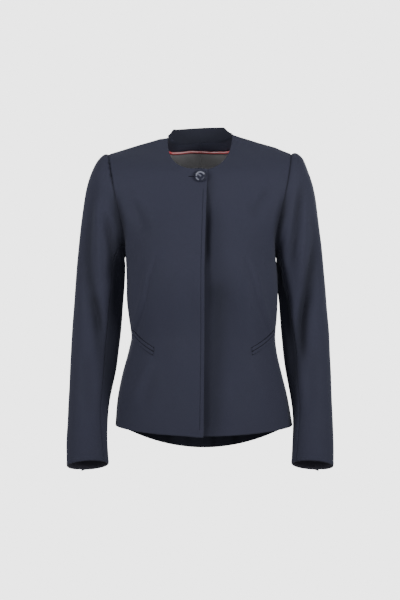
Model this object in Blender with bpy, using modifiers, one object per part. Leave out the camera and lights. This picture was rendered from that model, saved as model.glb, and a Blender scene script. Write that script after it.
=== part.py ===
"""Suit jacket: a collarless, concealed-fly jacket that keeps its worn form with nobody in it.

Metres, +Z up. The jacket faces -Y and the wearer's left is +X. The origin lies midway between
the two points where the shoulder seams meet the neckline. Every cloth piece is a surface on a
grid whose rows and columns follow its cut, with a Solidify modifier for the cloth's thickness.
"""
import math

import bmesh
import bpy
import numpy as np

# ---- cloth and seams -------------------------------------------------------------------
CLOTH = 0.0012            # wall of a sewn piece: wool cloth, its fusing and its pressing
THIN_CLOTH = 0.0010       # lining, facings and welts
SHOULDER_DRAW = 0.0008    # how far each piece stops short of its seam, so that the inner
SIDE_DRAW = 0.0003        # corners of two walls that meet at an angle stay about 0.3 mm apart
ARMHOLE_DRAW = (0.0002, 0.0010)    # the upper sleeve and the under sleeve
SLEEVE_SEAM_DRAW = 0.0004
CENTRE_DRAW = 0.00025
LAYER_GAP = 0.0005        # air between a piece and one that lies on it
LINING_EASE = 0.0014      # the lining hangs this much further inside
FACING_EASE = 0.0013      # and the neck facing this much
TURN_UP_EASE = 0.0004     # and the turned-up edges of the cuffs this much

# ---- body ------------------------------------------------------------------------------
HEM_SIDE_Z = -0.590       # hem at the side seams
FRONT_DROP = 0.014        # how much lower the hem is at the centre front
BACK_DROP = 0.0575        # how much lower the hem is at the centre back
WAIST_Z = -0.410
UNDERARM_Z = -0.244
SHOULDER_TIP = (0.187, -0.037)     # x and z where the shoulder seam meets the sleeve
ARMHOLE_HALF_DEPTH = 0.056
NECK_TILT = 0.0034        # the left neck point is this much higher, and the right one lower
SECTION_FULLNESS = 0.85   # power of the sine in a body section: 1 is an ellipse, less is fuller
SHOULDER_TURN = math.radians(60)   # where on its section the shoulder tip lies

# ---- neck ------------------------------------------------------------------------------
NECK_HALF_WIDTH = 0.0656
FRONT_NECK = {-1: (0.0735, 2.8), 1: (0.0758, 2.1)}    # its depth and the power of its curve
NECK_POINT_Y = 0.005
FRONT_NECK_Y = -0.078
BACK_NECK_Y = 0.060
BACK_NECK_Z = -0.005
STAND_HEIGHT = 0.0275
STAND_LEAN = 0.004        # the stand's top edge leans forward by this
STAND_TURN = 87.0         # degrees round from the centre back to each of its ends
STAND_TAPER = 42.0        # degrees over which it gets lower there
STAND_END = 0.14          # to this share of its height
FACING_DEPTH = 0.020      # back neck facing below the neck seam
FACING_SHOULDER = 0.16    # share of the shoulder seam that the facing takes
FACING_CURVE = (1.5, 0.65)   # powers that round the facing's lower edge, up and out
PIPING_RADIUS = 0.0012
PIPING_EASE = 0.0012      # room between the piping and the lining that it runs along

# ---- front edges, past the centre line at the top and at the hem -------------------------
LAP_EDGE = (
    # z, x
    (-0.080, 0.0150),
    (-0.170, 0.0116),
    (-0.255, 0.0093),
    (-0.410, 0.0087),
    (-0.600, 0.0065),
)
UNDERLAP_EDGE = -0.030
LAP_SETBACK = 0.0024      # the left front lies this far behind the right one where they lap
LAP_CLEAR = 0.006         # also this far past the right one's edge
LAP_RETURN = 0.030        # and comes forward again over this distance

# ---- button and pockets ------------------------------------------------------------------
BUTTON_RADIUS = 0.0125
BUTTON_THICKNESS = 0.0042
BUTTON_DISH = 0.0008      # how deep its face is hollowed
BUTTON_LIFT = 0.0012      # its shank holds its back this far off the cloth
SHANK_RADIUS = 0.0035
BUTTON_PLACE = (0.0004, -0.0862)   # x and z of its centre
BUTTON_TILT = math.radians(17)
POCKET_INNER_ANGLE = math.radians(50)
POCKET_OUTER_ANGLE = math.radians(15)
POCKET_INNER_Z = -0.4375
POCKET_OUTER_Z = -0.4010
WELT_HEIGHT = 0.0066
HALF_SLOT = 0.0004        # half of the pocket's slit between its two welts
TURN_UP = 0.036           # hem and cuff turn-ups

# ---- grid sizes --------------------------------------------------------------------------
ROWS_BELOW = 12           # from the hem to the underarm
ROWS_ABOVE = 14           # from the underarm to the shoulder
COLUMNS = 12              # from the centre to the side
STAND_COLUMNS = 24
POCKET_COLUMNS = 8
NECKLINE_ROW_FRONT = 8    # the row, counted from the underarm, where the front edge ends
NECKLINE_ROW_BACK = 10    # and where the centre back ends
SLEEVE_RINGS = 21
RING_POWER = 1.15         # the rings are closer together near the armhole
SLEEVE_LENGTH = 0.64
SLEEVE_FRONT_STEP = 3     # armhole steps from the underarm to the sleeve's front seam
SLEEVE_BACK_STEP = 4      # and to its back seam
SEAM_REACH = 0.10         # share of the sleeve over which it leaves the armhole's line
# Rows and columns of the panels' grids, in steps of those grids.
HEM_ROW = TURN_UP / (UNDERARM_Z - HEM_SIDE_Z) * ROWS_BELOW
NECK_ROW_BACK = ROWS_BELOW + NECKLINE_ROW_BACK
SHOULDER_ROW = ROWS_BELOW + ROWS_ABOVE
HEM_TRIM = 0.06           # the hem's turn-up starts this far above its edge
FACING_TRIM = 0.12        # the facing and the lining end this far from their neighbours
SIDE_TRIM = 0.25          # the lining and the turn-up end this far from the side seams
LINING_DIP = 0.9          # the lining ends this much lower at the shoulder seams

# Body levels, top to bottom: half width, and the depths of the centre front and centre back.
BODY_LEVELS = {
    "z":     (0.000, -0.050, -0.100, -0.160, -0.244, -0.285, -0.334, -0.371, -0.409, -0.440,
              -0.483, -0.532, -0.590),
    "half":  (0.187, 0.185, 0.177, 0.166, 0.1537, 0.1549, 0.1545, 0.1515, 0.1473, 0.1520,
              0.1624, 0.1729, 0.1800),
    "front": (-0.040, -0.068, -0.0865, -0.1060, -0.1290, -0.1310, -0.1240, -0.1150, -0.1085,
              -0.1105, -0.1160, -0.1225, -0.1290),
    "back":  (0.0570, 0.0850, 0.1020, 0.1130, 0.1120, 0.1080, 0.1010, 0.0965, 0.0950, 0.0985,
              0.1090, 0.1215, 0.1340),
    "sway":  (0.0, 0.0, 0.0, 0.0, 0.0010, 0.0046, 0.0046, 0.0059, 0.0069, 0.0052,
              0.0043, 0.0054, 0.0080),
}

# Armhole seam seen from the front: how far out it lies at each height.
ARMHOLE_LINE = {
    "z": (-0.037, -0.066, -0.094, -0.125, -0.160, -0.190, -0.213, -0.244),
    "x": (0.187, 0.1825, 0.1775, 0.1710, 0.1630, 0.1560, 0.1530, 0.1537),
}

# Sleeve sections from the armhole to the cuff: outer and inner edges seen from the front, half
# the depth, the middle's Y, the tip of the section about X, and the left sleeve's inner edge.
SLEEVE_LEVELS = {
    "step":      (0.0, 0.05, 0.10, 0.16, 0.23, 0.31, 0.41, 0.53, 0.64, 0.75, 0.86, 0.93, 1.0),
    "outer_x":   (0.187, 0.2000, 0.2125, 0.2245, 0.2335, 0.2395, 0.2465, 0.2545, 0.2605, 0.2645,
                  0.2675, 0.2702, 0.2692),
    "outer_z":   (-0.037, -0.0366, -0.0530, -0.080, -0.1120, -0.1580, -0.2180, -0.3000, -0.3820,
                  -0.4700, -0.5600, -0.6150, -0.6690),
    "inner_x":   (0.1537, 0.1545, 0.1550, 0.1552, 0.1555, 0.1558, 0.1565, 0.1590, 0.1640, 0.1735,
                  0.1868, 0.1898, 0.1862),
    "inner_z":   (-0.244, -0.2480, -0.2530, -0.2590, -0.2670, -0.2780, -0.2980, -0.3450, -0.4080,
                  -0.4760, -0.5540, -0.6050, -0.6690),
    "half_deep": (0.056, 0.0575, 0.0585, 0.0590, 0.0585, 0.0575, 0.0555, 0.0525, 0.0490, 0.0460,
                  0.0435, 0.0425, 0.0415),
    "middle_y":  (0.0, 0.0, 0.001, 0.002, 0.003, 0.004, 0.006, 0.006, 0.001, -0.010,
                  -0.0270, -0.0390, -0.0520),
    "tip":       (0.0, 0.0, 0.0, 0.0, 0.0, 0.0, 0.0, 2.0, 6.0, 10.0, 14.0, 16.0, 16.5),
    "left_out":  (0.0, 0.0018, 0.0032, 0.0042, 0.0052, 0.0058, 0.0062, 0.0058, 0.0050, 0.0040,
                  0.0020, 0.0005, 0.0),
    "front_seam": (-51.43, -49.0, -46.5, -43.5, -41.0, -38.0, -34.0, -29.0, -27.0, -28.0,
                   -33.0, -37.0, -41.0),
    "back_seam": (218.57, 216.0, 213.0, 210.0, 207.0, 203.0, 198.0, 193.0, 188.0, 182.0,
                  174.0, 170.0, 167.0),
}

# The largest soft troughs (negative) and ridges, each from one end to the other.
FOLDS = (
    # piece, side, x0, z0, x1, z1, half width, height
    ("front", +1, 0.032, -0.165, 0.040, -0.300, 0.016, -0.0050),
    ("front", +1, 0.040, -0.290, 0.085, -0.445, 0.020, -0.0040),
    ("front", -1, -0.095, -0.455, -0.140, -0.540, 0.012, 0.0030),
    ("front", +1, 0.142, -0.110, 0.105, -0.165, 0.012, -0.0035),
    ("front", -1, -0.136, -0.140, -0.108, -0.200, 0.012, -0.0035),
    ("back", +1, 0.052, -0.330, 0.078, -0.480, 0.018, -0.0030),
    ("back", -1, -0.045, -0.320, -0.070, -0.470, 0.018, -0.0030),
    ("back", +1, 0.140, -0.150, 0.085, -0.230, 0.014, -0.0030),
    ("back", -1, -0.140, -0.140, -0.090, -0.235, 0.014, -0.0030),
    ("sleeve front", -1, -0.220, -0.120, -0.228, -0.285, 0.013, -0.0040),
    ("sleeve front", -1, -0.227, -0.255, -0.197, -0.430, 0.014, -0.0035),
    ("sleeve front", +1, 0.206, -0.085, 0.178, -0.255, 0.013, -0.0040),
    ("sleeve front", +1, 0.220, -0.150, 0.226, -0.290, 0.013, -0.0035),
    ("sleeve front", +1, 0.226, -0.260, 0.203, -0.410, 0.014, -0.0030),
    ("sleeve back", -1, -0.214, -0.140, -0.224, -0.300, 0.014, -0.0035),
    ("sleeve back", +1, 0.212, -0.130, 0.222, -0.290, 0.014, -0.0035),
)
FOLD_FADE = 0.35          # share of its length over which a fold fades at each end

BUST_PLACE = (0.082, -0.262)
BUST_HEIGHT = 0.009
BUST_SPREAD = 0.048

CLOTH_COLOUR = (0.036, 0.042, 0.066)
FACING_COLOUR = (0.018, 0.022, 0.034)
LINING_COLOUR = (0.048, 0.050, 0.056)
PIPING_COLOUR = (0.42, 0.06, 0.07)
BUTTON_COLOUR = (0.045, 0.042, 0.068)


# ---- scene and materials -------------------------------------------------------------------
def clear_scene():
    for old in list(bpy.data.objects):
        bpy.data.objects.remove(old, do_unlink=True)


def make_material(name, colour, roughness, metallic=0.0):
    material = bpy.data.materials.new(name)
    material.use_nodes = True
    shader = material.node_tree.nodes["Principled BSDF"]
    shader.inputs["Base Color"].default_value = (*colour, 1.0)
    shader.inputs["Roughness"].default_value = roughness
    shader.inputs["Metallic"].default_value = metallic
    return material


def make_collection(name):
    collection = bpy.data.collections.new(name)
    bpy.context.scene.collection.children.link(collection)
    return collection


# ---- curves and grids ----------------------------------------------------------------------
def through(stations, values, at):
    """A cubic through the stations, whose slope at each is that of its neighbours."""
    stations = np.asarray(stations, float)
    values = np.asarray(values, float)
    if stations[0] > stations[-1]:
        stations, values = stations[::-1], values[::-1]
    slopes = np.gradient(values, stations)
    at = np.clip(at, stations[0], stations[-1])
    k = np.clip(np.searchsorted(stations, at) - 1, 0, len(stations) - 2)
    width = stations[k + 1] - stations[k]
    s = (at - stations[k]) / width
    start = (2 * s**3 - 3 * s**2 + 1) * values[k] + (s**3 - 2 * s**2 + s) * width * slopes[k]
    end = (3 * s**2 - 2 * s**3) * values[k + 1] + (s**3 - s**2) * width * slopes[k + 1]
    return start + end


def body_level(column, z):
    return through(BODY_LEVELS["z"], BODY_LEVELS[column], z)


def smooth_step(value):
    value = np.clip(value, 0.0, 1.0)
    return value * value * (3.0 - 2.0 * value)


def evenly(path, count):
    """Points at equal lengths along a dense path of points."""
    length = np.concatenate([[0.0], np.cumsum(np.linalg.norm(np.diff(path, axis=0), axis=1))])
    wanted = np.linspace(0.0, length[-1], count)
    return np.stack([np.interp(wanted, length, path[:, axis]) for axis in range(3)], axis=1)


def sample(grid, row, column):
    """The grid's points at fractional rows and columns."""
    r = np.clip(np.floor(row).astype(int), 0, grid.shape[0] - 2)
    c = np.clip(np.floor(column).astype(int), 0, grid.shape[1] - 2)
    v = (row - r)[..., None]
    u = (column - c)[..., None]
    below = grid[r, c] * (1 - u) + grid[r, c + 1] * u
    above = grid[r + 1, c] * (1 - u) + grid[r + 1, c + 1] * u
    return below * (1 - v) + above * v


def normals(grid, side):
    """Unit normals of a grid of rows going up and columns going out from the centre."""
    up = np.gradient(grid, axis=0)
    out = np.gradient(grid, axis=1)
    normal = np.cross(out, up) * side
    return normal / np.maximum(np.linalg.norm(normal, axis=2, keepdims=True), 1e-9)


def draw_back(grid, first_row=0.0, last_row=0.0, first_column=0.0, last_column=0.0):
    """Shorten the grid at its edges, along its own surface, to leave the seams' gaps."""
    grid = grid.copy()
    for axis, index, inner, distance in (
        (0, 0, 1, first_row),
        (0, -1, -2, last_row),
        (1, 0, 1, first_column),
        (1, -1, -2, last_column),
    ):
        edge = grid[index] if axis == 0 else grid[:, index]
        step = (grid[inner] if axis == 0 else grid[:, inner]) - edge
        edge += step / np.maximum(np.linalg.norm(step, axis=1, keepdims=True), 1e-9) * distance
    return grid


# ---- armhole ------------------------------------------------------------------------------
def armhole(angle, side, face):
    """The seam at an angle from the underarm, -90, to the shoulder, 90; face -1 is the front."""
    middle = (UNDERARM_Z + SHOULDER_TIP[1]) / 2
    half = (SHOULDER_TIP[1] - UNDERARM_Z) / 2
    z = middle + half * np.sin(angle)
    x = side * through(ARMHOLE_LINE["z"], ARMHOLE_LINE["x"], z) + body_level("sway", z)
    y = face * ARMHOLE_HALF_DEPTH * np.cos(angle)
    return np.stack([x, y, z], axis=-1)


def armhole_angles():
    return np.radians(np.linspace(-90.0, 90.0, ROWS_ABOVE + 1))


# ---- body panels ---------------------------------------------------------------------------
def section_row(inner, outer, turn, columns, ease=1.0):
    """One row from its centre end to its outer end, bent as part of a full body section."""
    reach = outer[0] / math.cos(turn)
    first = math.acos(np.clip(inner[0] / reach, -1, 1))
    angles = np.linspace(first, turn, columns + 1)
    x = reach * np.cos(angles)
    bend = np.abs(np.sin(angles)) ** SECTION_FULLNESS
    top = 1.0 if first > math.pi / 2 else bend[0]
    share = (bend - bend[-1]) / (top - bend[-1])
    y = outer[1] + (inner[1] - outer[1]) * share
    start = max(inner[0], 0.0)
    along = np.clip((x - start) / (outer[0] - start), 0.0, 1.0)
    z = inner[2] + (outer[2] - inner[2]) * along**ease
    return np.stack([x, y, z], axis=1), angles


def body_rows(centre_x, depth, drop):
    """Rows from the hem up to the underarm, with the hem lower at the centre than at the side."""
    rows = []
    for side_z in np.linspace(HEM_SIDE_Z, UNDERARM_Z, ROWS_BELOW + 1):
        low = smooth_step((WAIST_Z - side_z) / (WAIST_Z - HEM_SIDE_Z))
        centre_z = side_z - drop * low
        inner = (centre_x(side_z), float(body_level(depth, side_z)), side_z)
        outer = (float(body_level("half", side_z)), 0.0, side_z)
        row, angles = section_row(inner, outer, 0.0, COLUMNS)
        row[:, 2] = side_z + (centre_z - side_z) * np.abs(np.sin(angles)) ** 1.8
        rows.append(row)
    return rows


def upper_rows(centre_path, side, face):
    """Rows above the underarm, from the centre line and the neckline out to the armhole."""
    rows = []
    for angle, inner in zip(armhole_angles()[1:], centre_path[1:]):
        outer = armhole(angle, side, face)
        outer[0] = side * (outer[0] - body_level("sway", outer[2]))
        height = (angle + math.pi / 2) / math.pi
        depth = min(abs(outer[1] / inner[1]), 1.0) if height < 0.5 else 0.0
        turn = max(
            math.asin(depth ** (1 / SECTION_FULLNESS)),
            SHOULDER_TURN * math.sin(height * math.pi / 2) ** 2,
        )
        ease = 1.5 - 0.5 * smooth_step((height - 0.55) / 0.45)
        row, _ = section_row(inner, outer, turn, COLUMNS, ease)
        rows.append(row)
    return rows


def fold_height(x, z, piece, side):
    """Sum of the soft folds: each a ridge with a bell-shaped section that fades at its ends."""
    height = np.zeros_like(x)
    for fold_piece, fold_side, x0, z0, x1, z1, half, tall in FOLDS:
        if (fold_piece, fold_side) != (piece, side):
            continue
        length = math.hypot(x1 - x0, z1 - z0)
        along = ((x - x0) * (x1 - x0) + (z - z0) * (z1 - z0)) / length**2
        across = ((x - x0) * (z1 - z0) - (z - z0) * (x1 - x0)) / length
        fade = smooth_step(along / FOLD_FADE) * smooth_step((1 - along) / FOLD_FADE)
        height += tall * fade * np.exp(-((across / half) ** 2))
    return height


def add_folds(grid, piece, side, face):
    """Move a body panel out or in by its folds, apart from its side seam and shoulder seam."""
    inside = np.ones(grid.shape[:2])
    inside[:, -1] = 0.0
    inside[-1] = 0.0
    grid[..., 1] += face * fold_height(grid[..., 0], grid[..., 2], piece, side) * inside


def bust(x, z):
    away = (x - BUST_PLACE[0]) ** 2 + (z - BUST_PLACE[1]) ** 2
    return BUST_HEIGHT * np.exp(-away / (2 * BUST_SPREAD**2))


def front_neckline(centre_x, depth, power, count):
    """From the front edge to the neck point: a superellipse quarter with a straight lead-in."""
    turn = np.linspace(0.0, math.pi / 2, 60)
    x = NECK_HALF_WIDTH * np.sin(turn) ** (2 / power)
    z = -depth * np.cos(turn) ** (2 / power)
    y = NECK_POINT_Y + (FRONT_NECK_Y - NECK_POINT_Y) * (-z / depth)
    lead = np.linspace(centre_x, 0.0, 8)[:-1]
    start = np.stack([lead, np.full(7, FRONT_NECK_Y), np.full(7, -depth)], axis=1)
    return evenly(np.concatenate([start, np.stack([x, y, z], axis=1)]), count)


def make_front(side):
    """A front's grid: rows from the hem to the shoulder seam, columns from edge to side seam."""
    def centre_x(z):
        return side * (front_edge(z, side) - float(body_level("sway", z)))

    neck_depth, neck_power = FRONT_NECK[side]
    rise = np.linspace(UNDERARM_Z, -neck_depth, NECKLINE_ROW_FRONT + 1)
    edge = np.stack(
        [
            np.array([centre_x(z) for z in rise]),
            through((-neck_depth, -0.16, UNDERARM_Z), (FRONT_NECK_Y, -0.1060, -0.1290), rise),
            rise,
        ],
        axis=1,
    )
    neckline = front_neckline(
        edge[-1][0], neck_depth, neck_power, ROWS_ABOVE - NECKLINE_ROW_FRONT + 1
    )
    path = np.concatenate([edge, neckline[1:]])
    grid = np.array(body_rows(centre_x, "front", FRONT_DROP) + upper_rows(path, side, -1))
    to_side = smooth_step(np.linspace(1.0, 0.0, COLUMNS + 1) / 0.35)
    grid[..., 1] -= bust(grid[..., 0], grid[..., 2]) * to_side
    grid[..., 0] = side * grid[..., 0] + body_level("sway", grid[..., 2])
    add_folds(grid, "front", side, -1)
    return grid


def tilt_neck(grid):
    """Lift the left side of the neck and lower the right one, fading out along the shoulders."""
    x = grid[..., 0]
    side = np.clip(x / NECK_HALF_WIDTH, -1.0, 1.0)
    out = smooth_step((SHOULDER_TIP[0] - np.abs(x)) / (SHOULDER_TIP[0] - NECK_HALF_WIDTH))
    up = smooth_step((grid[..., 2] + 0.070) / 0.060)
    tilted = grid.copy()
    tilted[..., 2] += NECK_TILT * side * out * up
    return tilted


def front_edge(z, side):
    """X of a front's edge: the right front laps over the left one."""
    if side > 0:
        return UNDERLAP_EDGE
    levels, outs = zip(*LAP_EDGE)
    return float(through(levels, outs, z))


def set_back_lap(grid):
    """Lay the left front behind the right one, and bring it forward past the right one's edge."""
    edge = np.array([front_edge(z, -1) for z in grid[..., 2].ravel()]).reshape(grid.shape[:2])
    back = 1.0 - smooth_step((grid[..., 0] - edge - LAP_CLEAR) / LAP_RETURN)
    moved = grid.copy()
    moved[..., 1] += LAP_SETBACK * back
    return moved


def make_back(side):
    """A back's grid: rows from the hem to the shoulder seam, columns from the centre seam."""
    rise = np.linspace(UNDERARM_Z, BACK_NECK_Z, NECKLINE_ROW_BACK + 1)
    levels = (BACK_NECK_Z, -0.05, -0.10, -0.16, UNDERARM_Z)
    depths = (BACK_NECK_Y, 0.0850, 0.1020, 0.1130, 0.1120)
    centre = np.stack([np.zeros(len(rise)), through(levels, depths, rise), rise], axis=1)
    centre = evenly(centre, NECKLINE_ROW_BACK + 1)
    neckline = back_neckline(np.linspace(0.0, 90.0, ROWS_ABOVE - NECKLINE_ROW_BACK + 1))
    path = np.concatenate([centre, neckline[1:]])
    grid = np.array(body_rows(lambda z: 0.0, "back", BACK_DROP) + upper_rows(path, side, 1))
    grid[..., 0] = side * grid[..., 0] + body_level("sway", grid[..., 2])
    add_folds(grid, "back", side, 1)
    return grid


def back_neckline(degrees):
    turn = np.radians(degrees)
    x = NECK_HALF_WIDTH * np.sin(turn)
    y = NECK_POINT_Y + (BACK_NECK_Y - NECK_POINT_Y) * np.cos(turn)
    z = BACK_NECK_Z * np.cos(turn)
    return np.stack([x, y, z], axis=-1)


# ---- sleeves -------------------------------------------------------------------------------
def sleeve_level(column, step):
    return through(SLEEVE_LEVELS["step"], SLEEVE_LEVELS[column], step)


def sleeve_ring(step, angles, side):
    """Points round the sleeve: 90 is the outer edge, 0 the front, -90 the inner edge."""
    left_out = sleeve_level("left_out", step) if side > 0 else 0.0
    outer = np.array([side * sleeve_level("outer_x", step), 0.0, sleeve_level("outer_z", step)])
    inner_x = sleeve_level("inner_x", step) + left_out
    inner = np.array([side * inner_x, 0.0, sleeve_level("inner_z", step)])
    if step == 0.0:
        inner[0] += float(body_level("sway", UNDERARM_Z))
    tip = math.radians(sleeve_level("tip", step))
    forward = np.array([0.0, -math.cos(tip), math.sin(tip)]) * sleeve_level("half_deep", step)
    middle = (outer + inner) / 2 + np.array([0.0, sleeve_level("middle_y", step), 0.0])
    half = (outer - inner) / 2
    ring = middle + np.outer(np.sin(angles), half) + np.outer(np.cos(angles), forward)
    seam_x = side * through(ARMHOLE_LINE["z"], ARMHOLE_LINE["x"], ring[:, 2])
    bend = seam_x + body_level("sway", ring[:, 2]) - ring[:, 0]
    start = max(0.0, 1.0 - step / SEAM_REACH) ** 2
    ring[:, 0] += bend * start
    facing = np.cos(angles)
    front = fold_height(ring[:, 0], ring[:, 2], "sleeve front", side)
    back = fold_height(ring[:, 0], ring[:, 2], "sleeve back", side)
    ring[:, 1] -= facing * np.where(facing > 0, front, back) * smooth_step(step / SEAM_REACH)
    return ring


def sleeve_columns():
    """Armhole angles of the upper sleeve's and the under sleeve's columns, in degrees."""
    step = 180.0 / ROWS_ABOVE
    front = -90.0 + SLEEVE_FRONT_STEP * step
    back = 270.0 - SLEEVE_BACK_STEP * step
    upper = np.linspace(front, back, 2 * ROWS_ABOVE - SLEEVE_FRONT_STEP - SLEEVE_BACK_STEP + 1)
    under = np.linspace(back - 360.0, front, SLEEVE_FRONT_STEP + SLEEVE_BACK_STEP + 1)
    return upper, under


def make_sleeve(side, which):
    columns = sleeve_columns()[which]
    share = (columns - columns[0]) / (columns[-1] - columns[0])
    grid = []
    for step in sleeve_steps():
        front = sleeve_level("front_seam", step)
        back = sleeve_level("back_seam", step)
        first, last = (front, back) if which == 0 else (back - 360.0, front)
        grid.append(sleeve_ring(step, np.radians(first + (last - first) * share), side))
    return np.array(grid)


def sleeve_axis(side):
    """The middle of each of the sleeve's rings."""
    round_it = np.radians(np.arange(0.0, 360.0, 30.0))
    return np.array([[sleeve_ring(step, round_it, side).mean(axis=0)] for step in sleeve_steps()])


def sleeve_steps():
    return np.linspace(0.0, 1.0, SLEEVE_RINGS + 1) ** RING_POWER


def make_cuff_turn_up(side):
    """A closed tube inside the cuff, from its edge up by the turn-up."""
    steps = np.linspace(1.0, 1.0 - TURN_UP / SLEEVE_LENGTH, 4)
    angles = np.radians(np.linspace(0.0, 360.0, 2 * ROWS_ABOVE + 1))
    rings = np.array([sleeve_ring(step, angles, side) for step in steps])
    middle = rings[:, :-1].mean(axis=1, keepdims=True)
    inward = middle - rings
    inward /= np.linalg.norm(inward, axis=2, keepdims=True)
    return rings + inward * (CLOTH + LAYER_GAP + TURN_UP_EASE)


# ---- objects -------------------------------------------------------------------------------
def faces_inward(points, axis):
    """Whether the grid's faces look towards the axis that the piece bends round."""
    normal = np.cross(np.gradient(points, axis=1), np.gradient(points, axis=0))
    return float((normal * (points - axis))[..., :2].sum()) < 0.0


def surface_mesh(name, points, axis):
    """A grid primitive whose vertices are moved to the points, row by row, faces outward."""
    rows, columns = points.shape[:2]
    bm = bmesh.new()
    bmesh.ops.create_grid(bm, x_segments=columns - 1, y_segments=rows - 1, size=1.0)
    bm.verts.ensure_lookup_table()
    for vertex, place in zip(bm.verts, points.reshape(-1, 3)):
        vertex.co = place
    bmesh.ops.remove_doubles(bm, verts=bm.verts, dist=0.00001)
    if faces_inward(points, axis):
        bmesh.ops.reverse_faces(bm, faces=bm.faces)
    mesh = bpy.data.meshes.new(name)
    bm.to_mesh(mesh)
    bm.free()
    return mesh


def add_wall(name, points, material, collection, thickness=CLOTH, axis=0.0):
    """A cloth piece: its outer surface is the points, and its thickness goes inwards."""
    mesh = surface_mesh(name, points, axis)
    piece = bpy.data.objects.new(name, mesh)
    collection.objects.link(piece)
    mesh.materials.append(material)
    mesh.shade_smooth()
    wall = piece.modifiers.new("Cloth thickness", "SOLIDIFY")
    wall.thickness = thickness
    wall.offset = -1.0
    return piece


def add_body(materials, collection):
    """The four body panels; returns their grids before the seams' gaps are taken."""
    grids = {}
    for side, label in ((-1, "right"), (1, "left")):
        front = make_front(side)
        if side > 0:
            front = set_back_lap(front)
        front = tilt_neck(front)
        back = tilt_neck(make_back(side))
        grids["front", side] = front
        grids["back", side] = back
        sewn = {"last_row": SHOULDER_DRAW, "last_column": SIDE_DRAW}
        add_wall("front_" + label, draw_back(front, **sewn), materials["cloth"], collection)
        back = draw_back(back, first_column=CENTRE_DRAW, **sewn)
        add_wall("back_" + label, back, materials["cloth"], collection)
    return grids


def add_sleeves(materials, collection):
    for side, label in ((-1, "right"), (1, "left")):
        for which, part in ((0, "upper"), (1, "under")):
            grid = make_sleeve(side, which)
            top = ARMHOLE_DRAW[which]
            grid = draw_back(
                grid, first_row=top, first_column=SLEEVE_SEAM_DRAW, last_column=SLEEVE_SEAM_DRAW
            )
            add_wall(part + "_sleeve_" + label, grid, materials["cloth"], collection,
                     axis=sleeve_axis(side))
        turn_up = make_cuff_turn_up(side)
        add_wall("cuff_turn_up_" + label, turn_up, materials["facing"], collection,
                 THIN_CLOTH, axis=turn_up[:, :-1].mean(axis=1, keepdims=True))


def facing_edge(share):
    """Row and column on a back's grid on the facing's lower edge: 0 centre, 1 shoulder seam."""
    row_rise = (BACK_NECK_Z - UNDERARM_Z) / NECKLINE_ROW_BACK
    first = NECK_ROW_BACK - FACING_DEPTH / row_rise
    row = first + (SHOULDER_ROW - first) * share ** FACING_CURVE[0]
    column = FACING_SHOULDER * COLUMNS * share ** FACING_CURVE[1]
    return row, column


def both_backs(pieces):
    """Join a left and a right grid, the right one mirrored, on the centre line."""
    right, left = pieces
    return np.concatenate([right[:, ::-1], left[:, 1:]], axis=1)


def add_neck(grids, materials, collection):
    """The stand round the back of the neck, its facing, the piping and the back lining."""
    degrees = np.linspace(-STAND_TURN, STAND_TURN, STAND_COLUMNS + 1)
    base = back_neckline(degrees)
    taper = smooth_step((STAND_TURN - np.abs(degrees)) / STAND_TAPER)
    rise = STAND_HEIGHT * (STAND_END + (1.0 - STAND_END) * taper)
    lean = np.stack([0.0 * rise, -STAND_LEAN * rise / STAND_HEIGHT, rise], axis=1)
    stand = tilt_neck(np.array([base + lean * share for share in (0.0, 0.35, 0.7, 1.0)]))
    stand[0, :, 2] += SHOULDER_DRAW
    add_wall("neck_stand", stand, materials["cloth"], collection)

    inset = CLOTH + LAYER_GAP
    normal = -normals(stand, 1)
    stand_facing = stand - normal * inset
    edge_row, edge_column = facing_edge(np.linspace(0.0, 1.0, 9))
    neck_row = np.linspace(NECK_ROW_BACK, SHOULDER_ROW - FACING_TRIM, 9)
    lower = []
    for side in (-1, 1):
        back = grids["back", side]
        inner = back - normals(back, -side) * (inset + FACING_EASE)
        steps = []
        for share in (1.0, 0.5, 0.06):
            row = neck_row + (np.minimum(edge_row, neck_row[-1]) - neck_row) * share
            steps.append(sample(inner, row, edge_column * share))
        lower.append(np.array(steps))
    apron = both_backs(lower)
    around = np.linspace(0, STAND_COLUMNS, apron.shape[1])
    rows, columns = np.meshgrid([0.5, 1.8, 3.0], around, indexing="ij")
    upper_part = sample(stand_facing, rows, columns)
    facing = np.concatenate([apron, upper_part])
    add_wall("neck_facing", facing, materials["facing"], collection, THIN_CLOTH)


def lining_grid():
    """Rows and columns of the lining on a back's grid: its top row follows the facing's edge."""
    facing_out = FACING_SHOULDER * COLUMNS
    columns = np.concatenate(
        [np.linspace(0.0, facing_out, 6), np.linspace(3.0, COLUMNS - SIDE_TRIM, 7)]
    )
    share = np.clip(columns / facing_out, 0.0, 1.0) ** (1 / FACING_CURVE[1])
    top = facing_edge(share)[0] - FACING_TRIM - LINING_DIP * share
    level = np.arange(2.0, facing_edge(0.0)[0] - 3.0)
    level = np.concatenate([[HEM_ROW + FACING_TRIM], level])
    lower = np.repeat(level[:, None], len(columns), axis=1)
    climb = np.linspace(0.0, 1.0, 7)[1:, None]
    rows = np.concatenate([lower, level[-1] + (top - level[-1]) * climb])
    return rows, np.repeat(columns[None], len(rows), axis=0)


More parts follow.
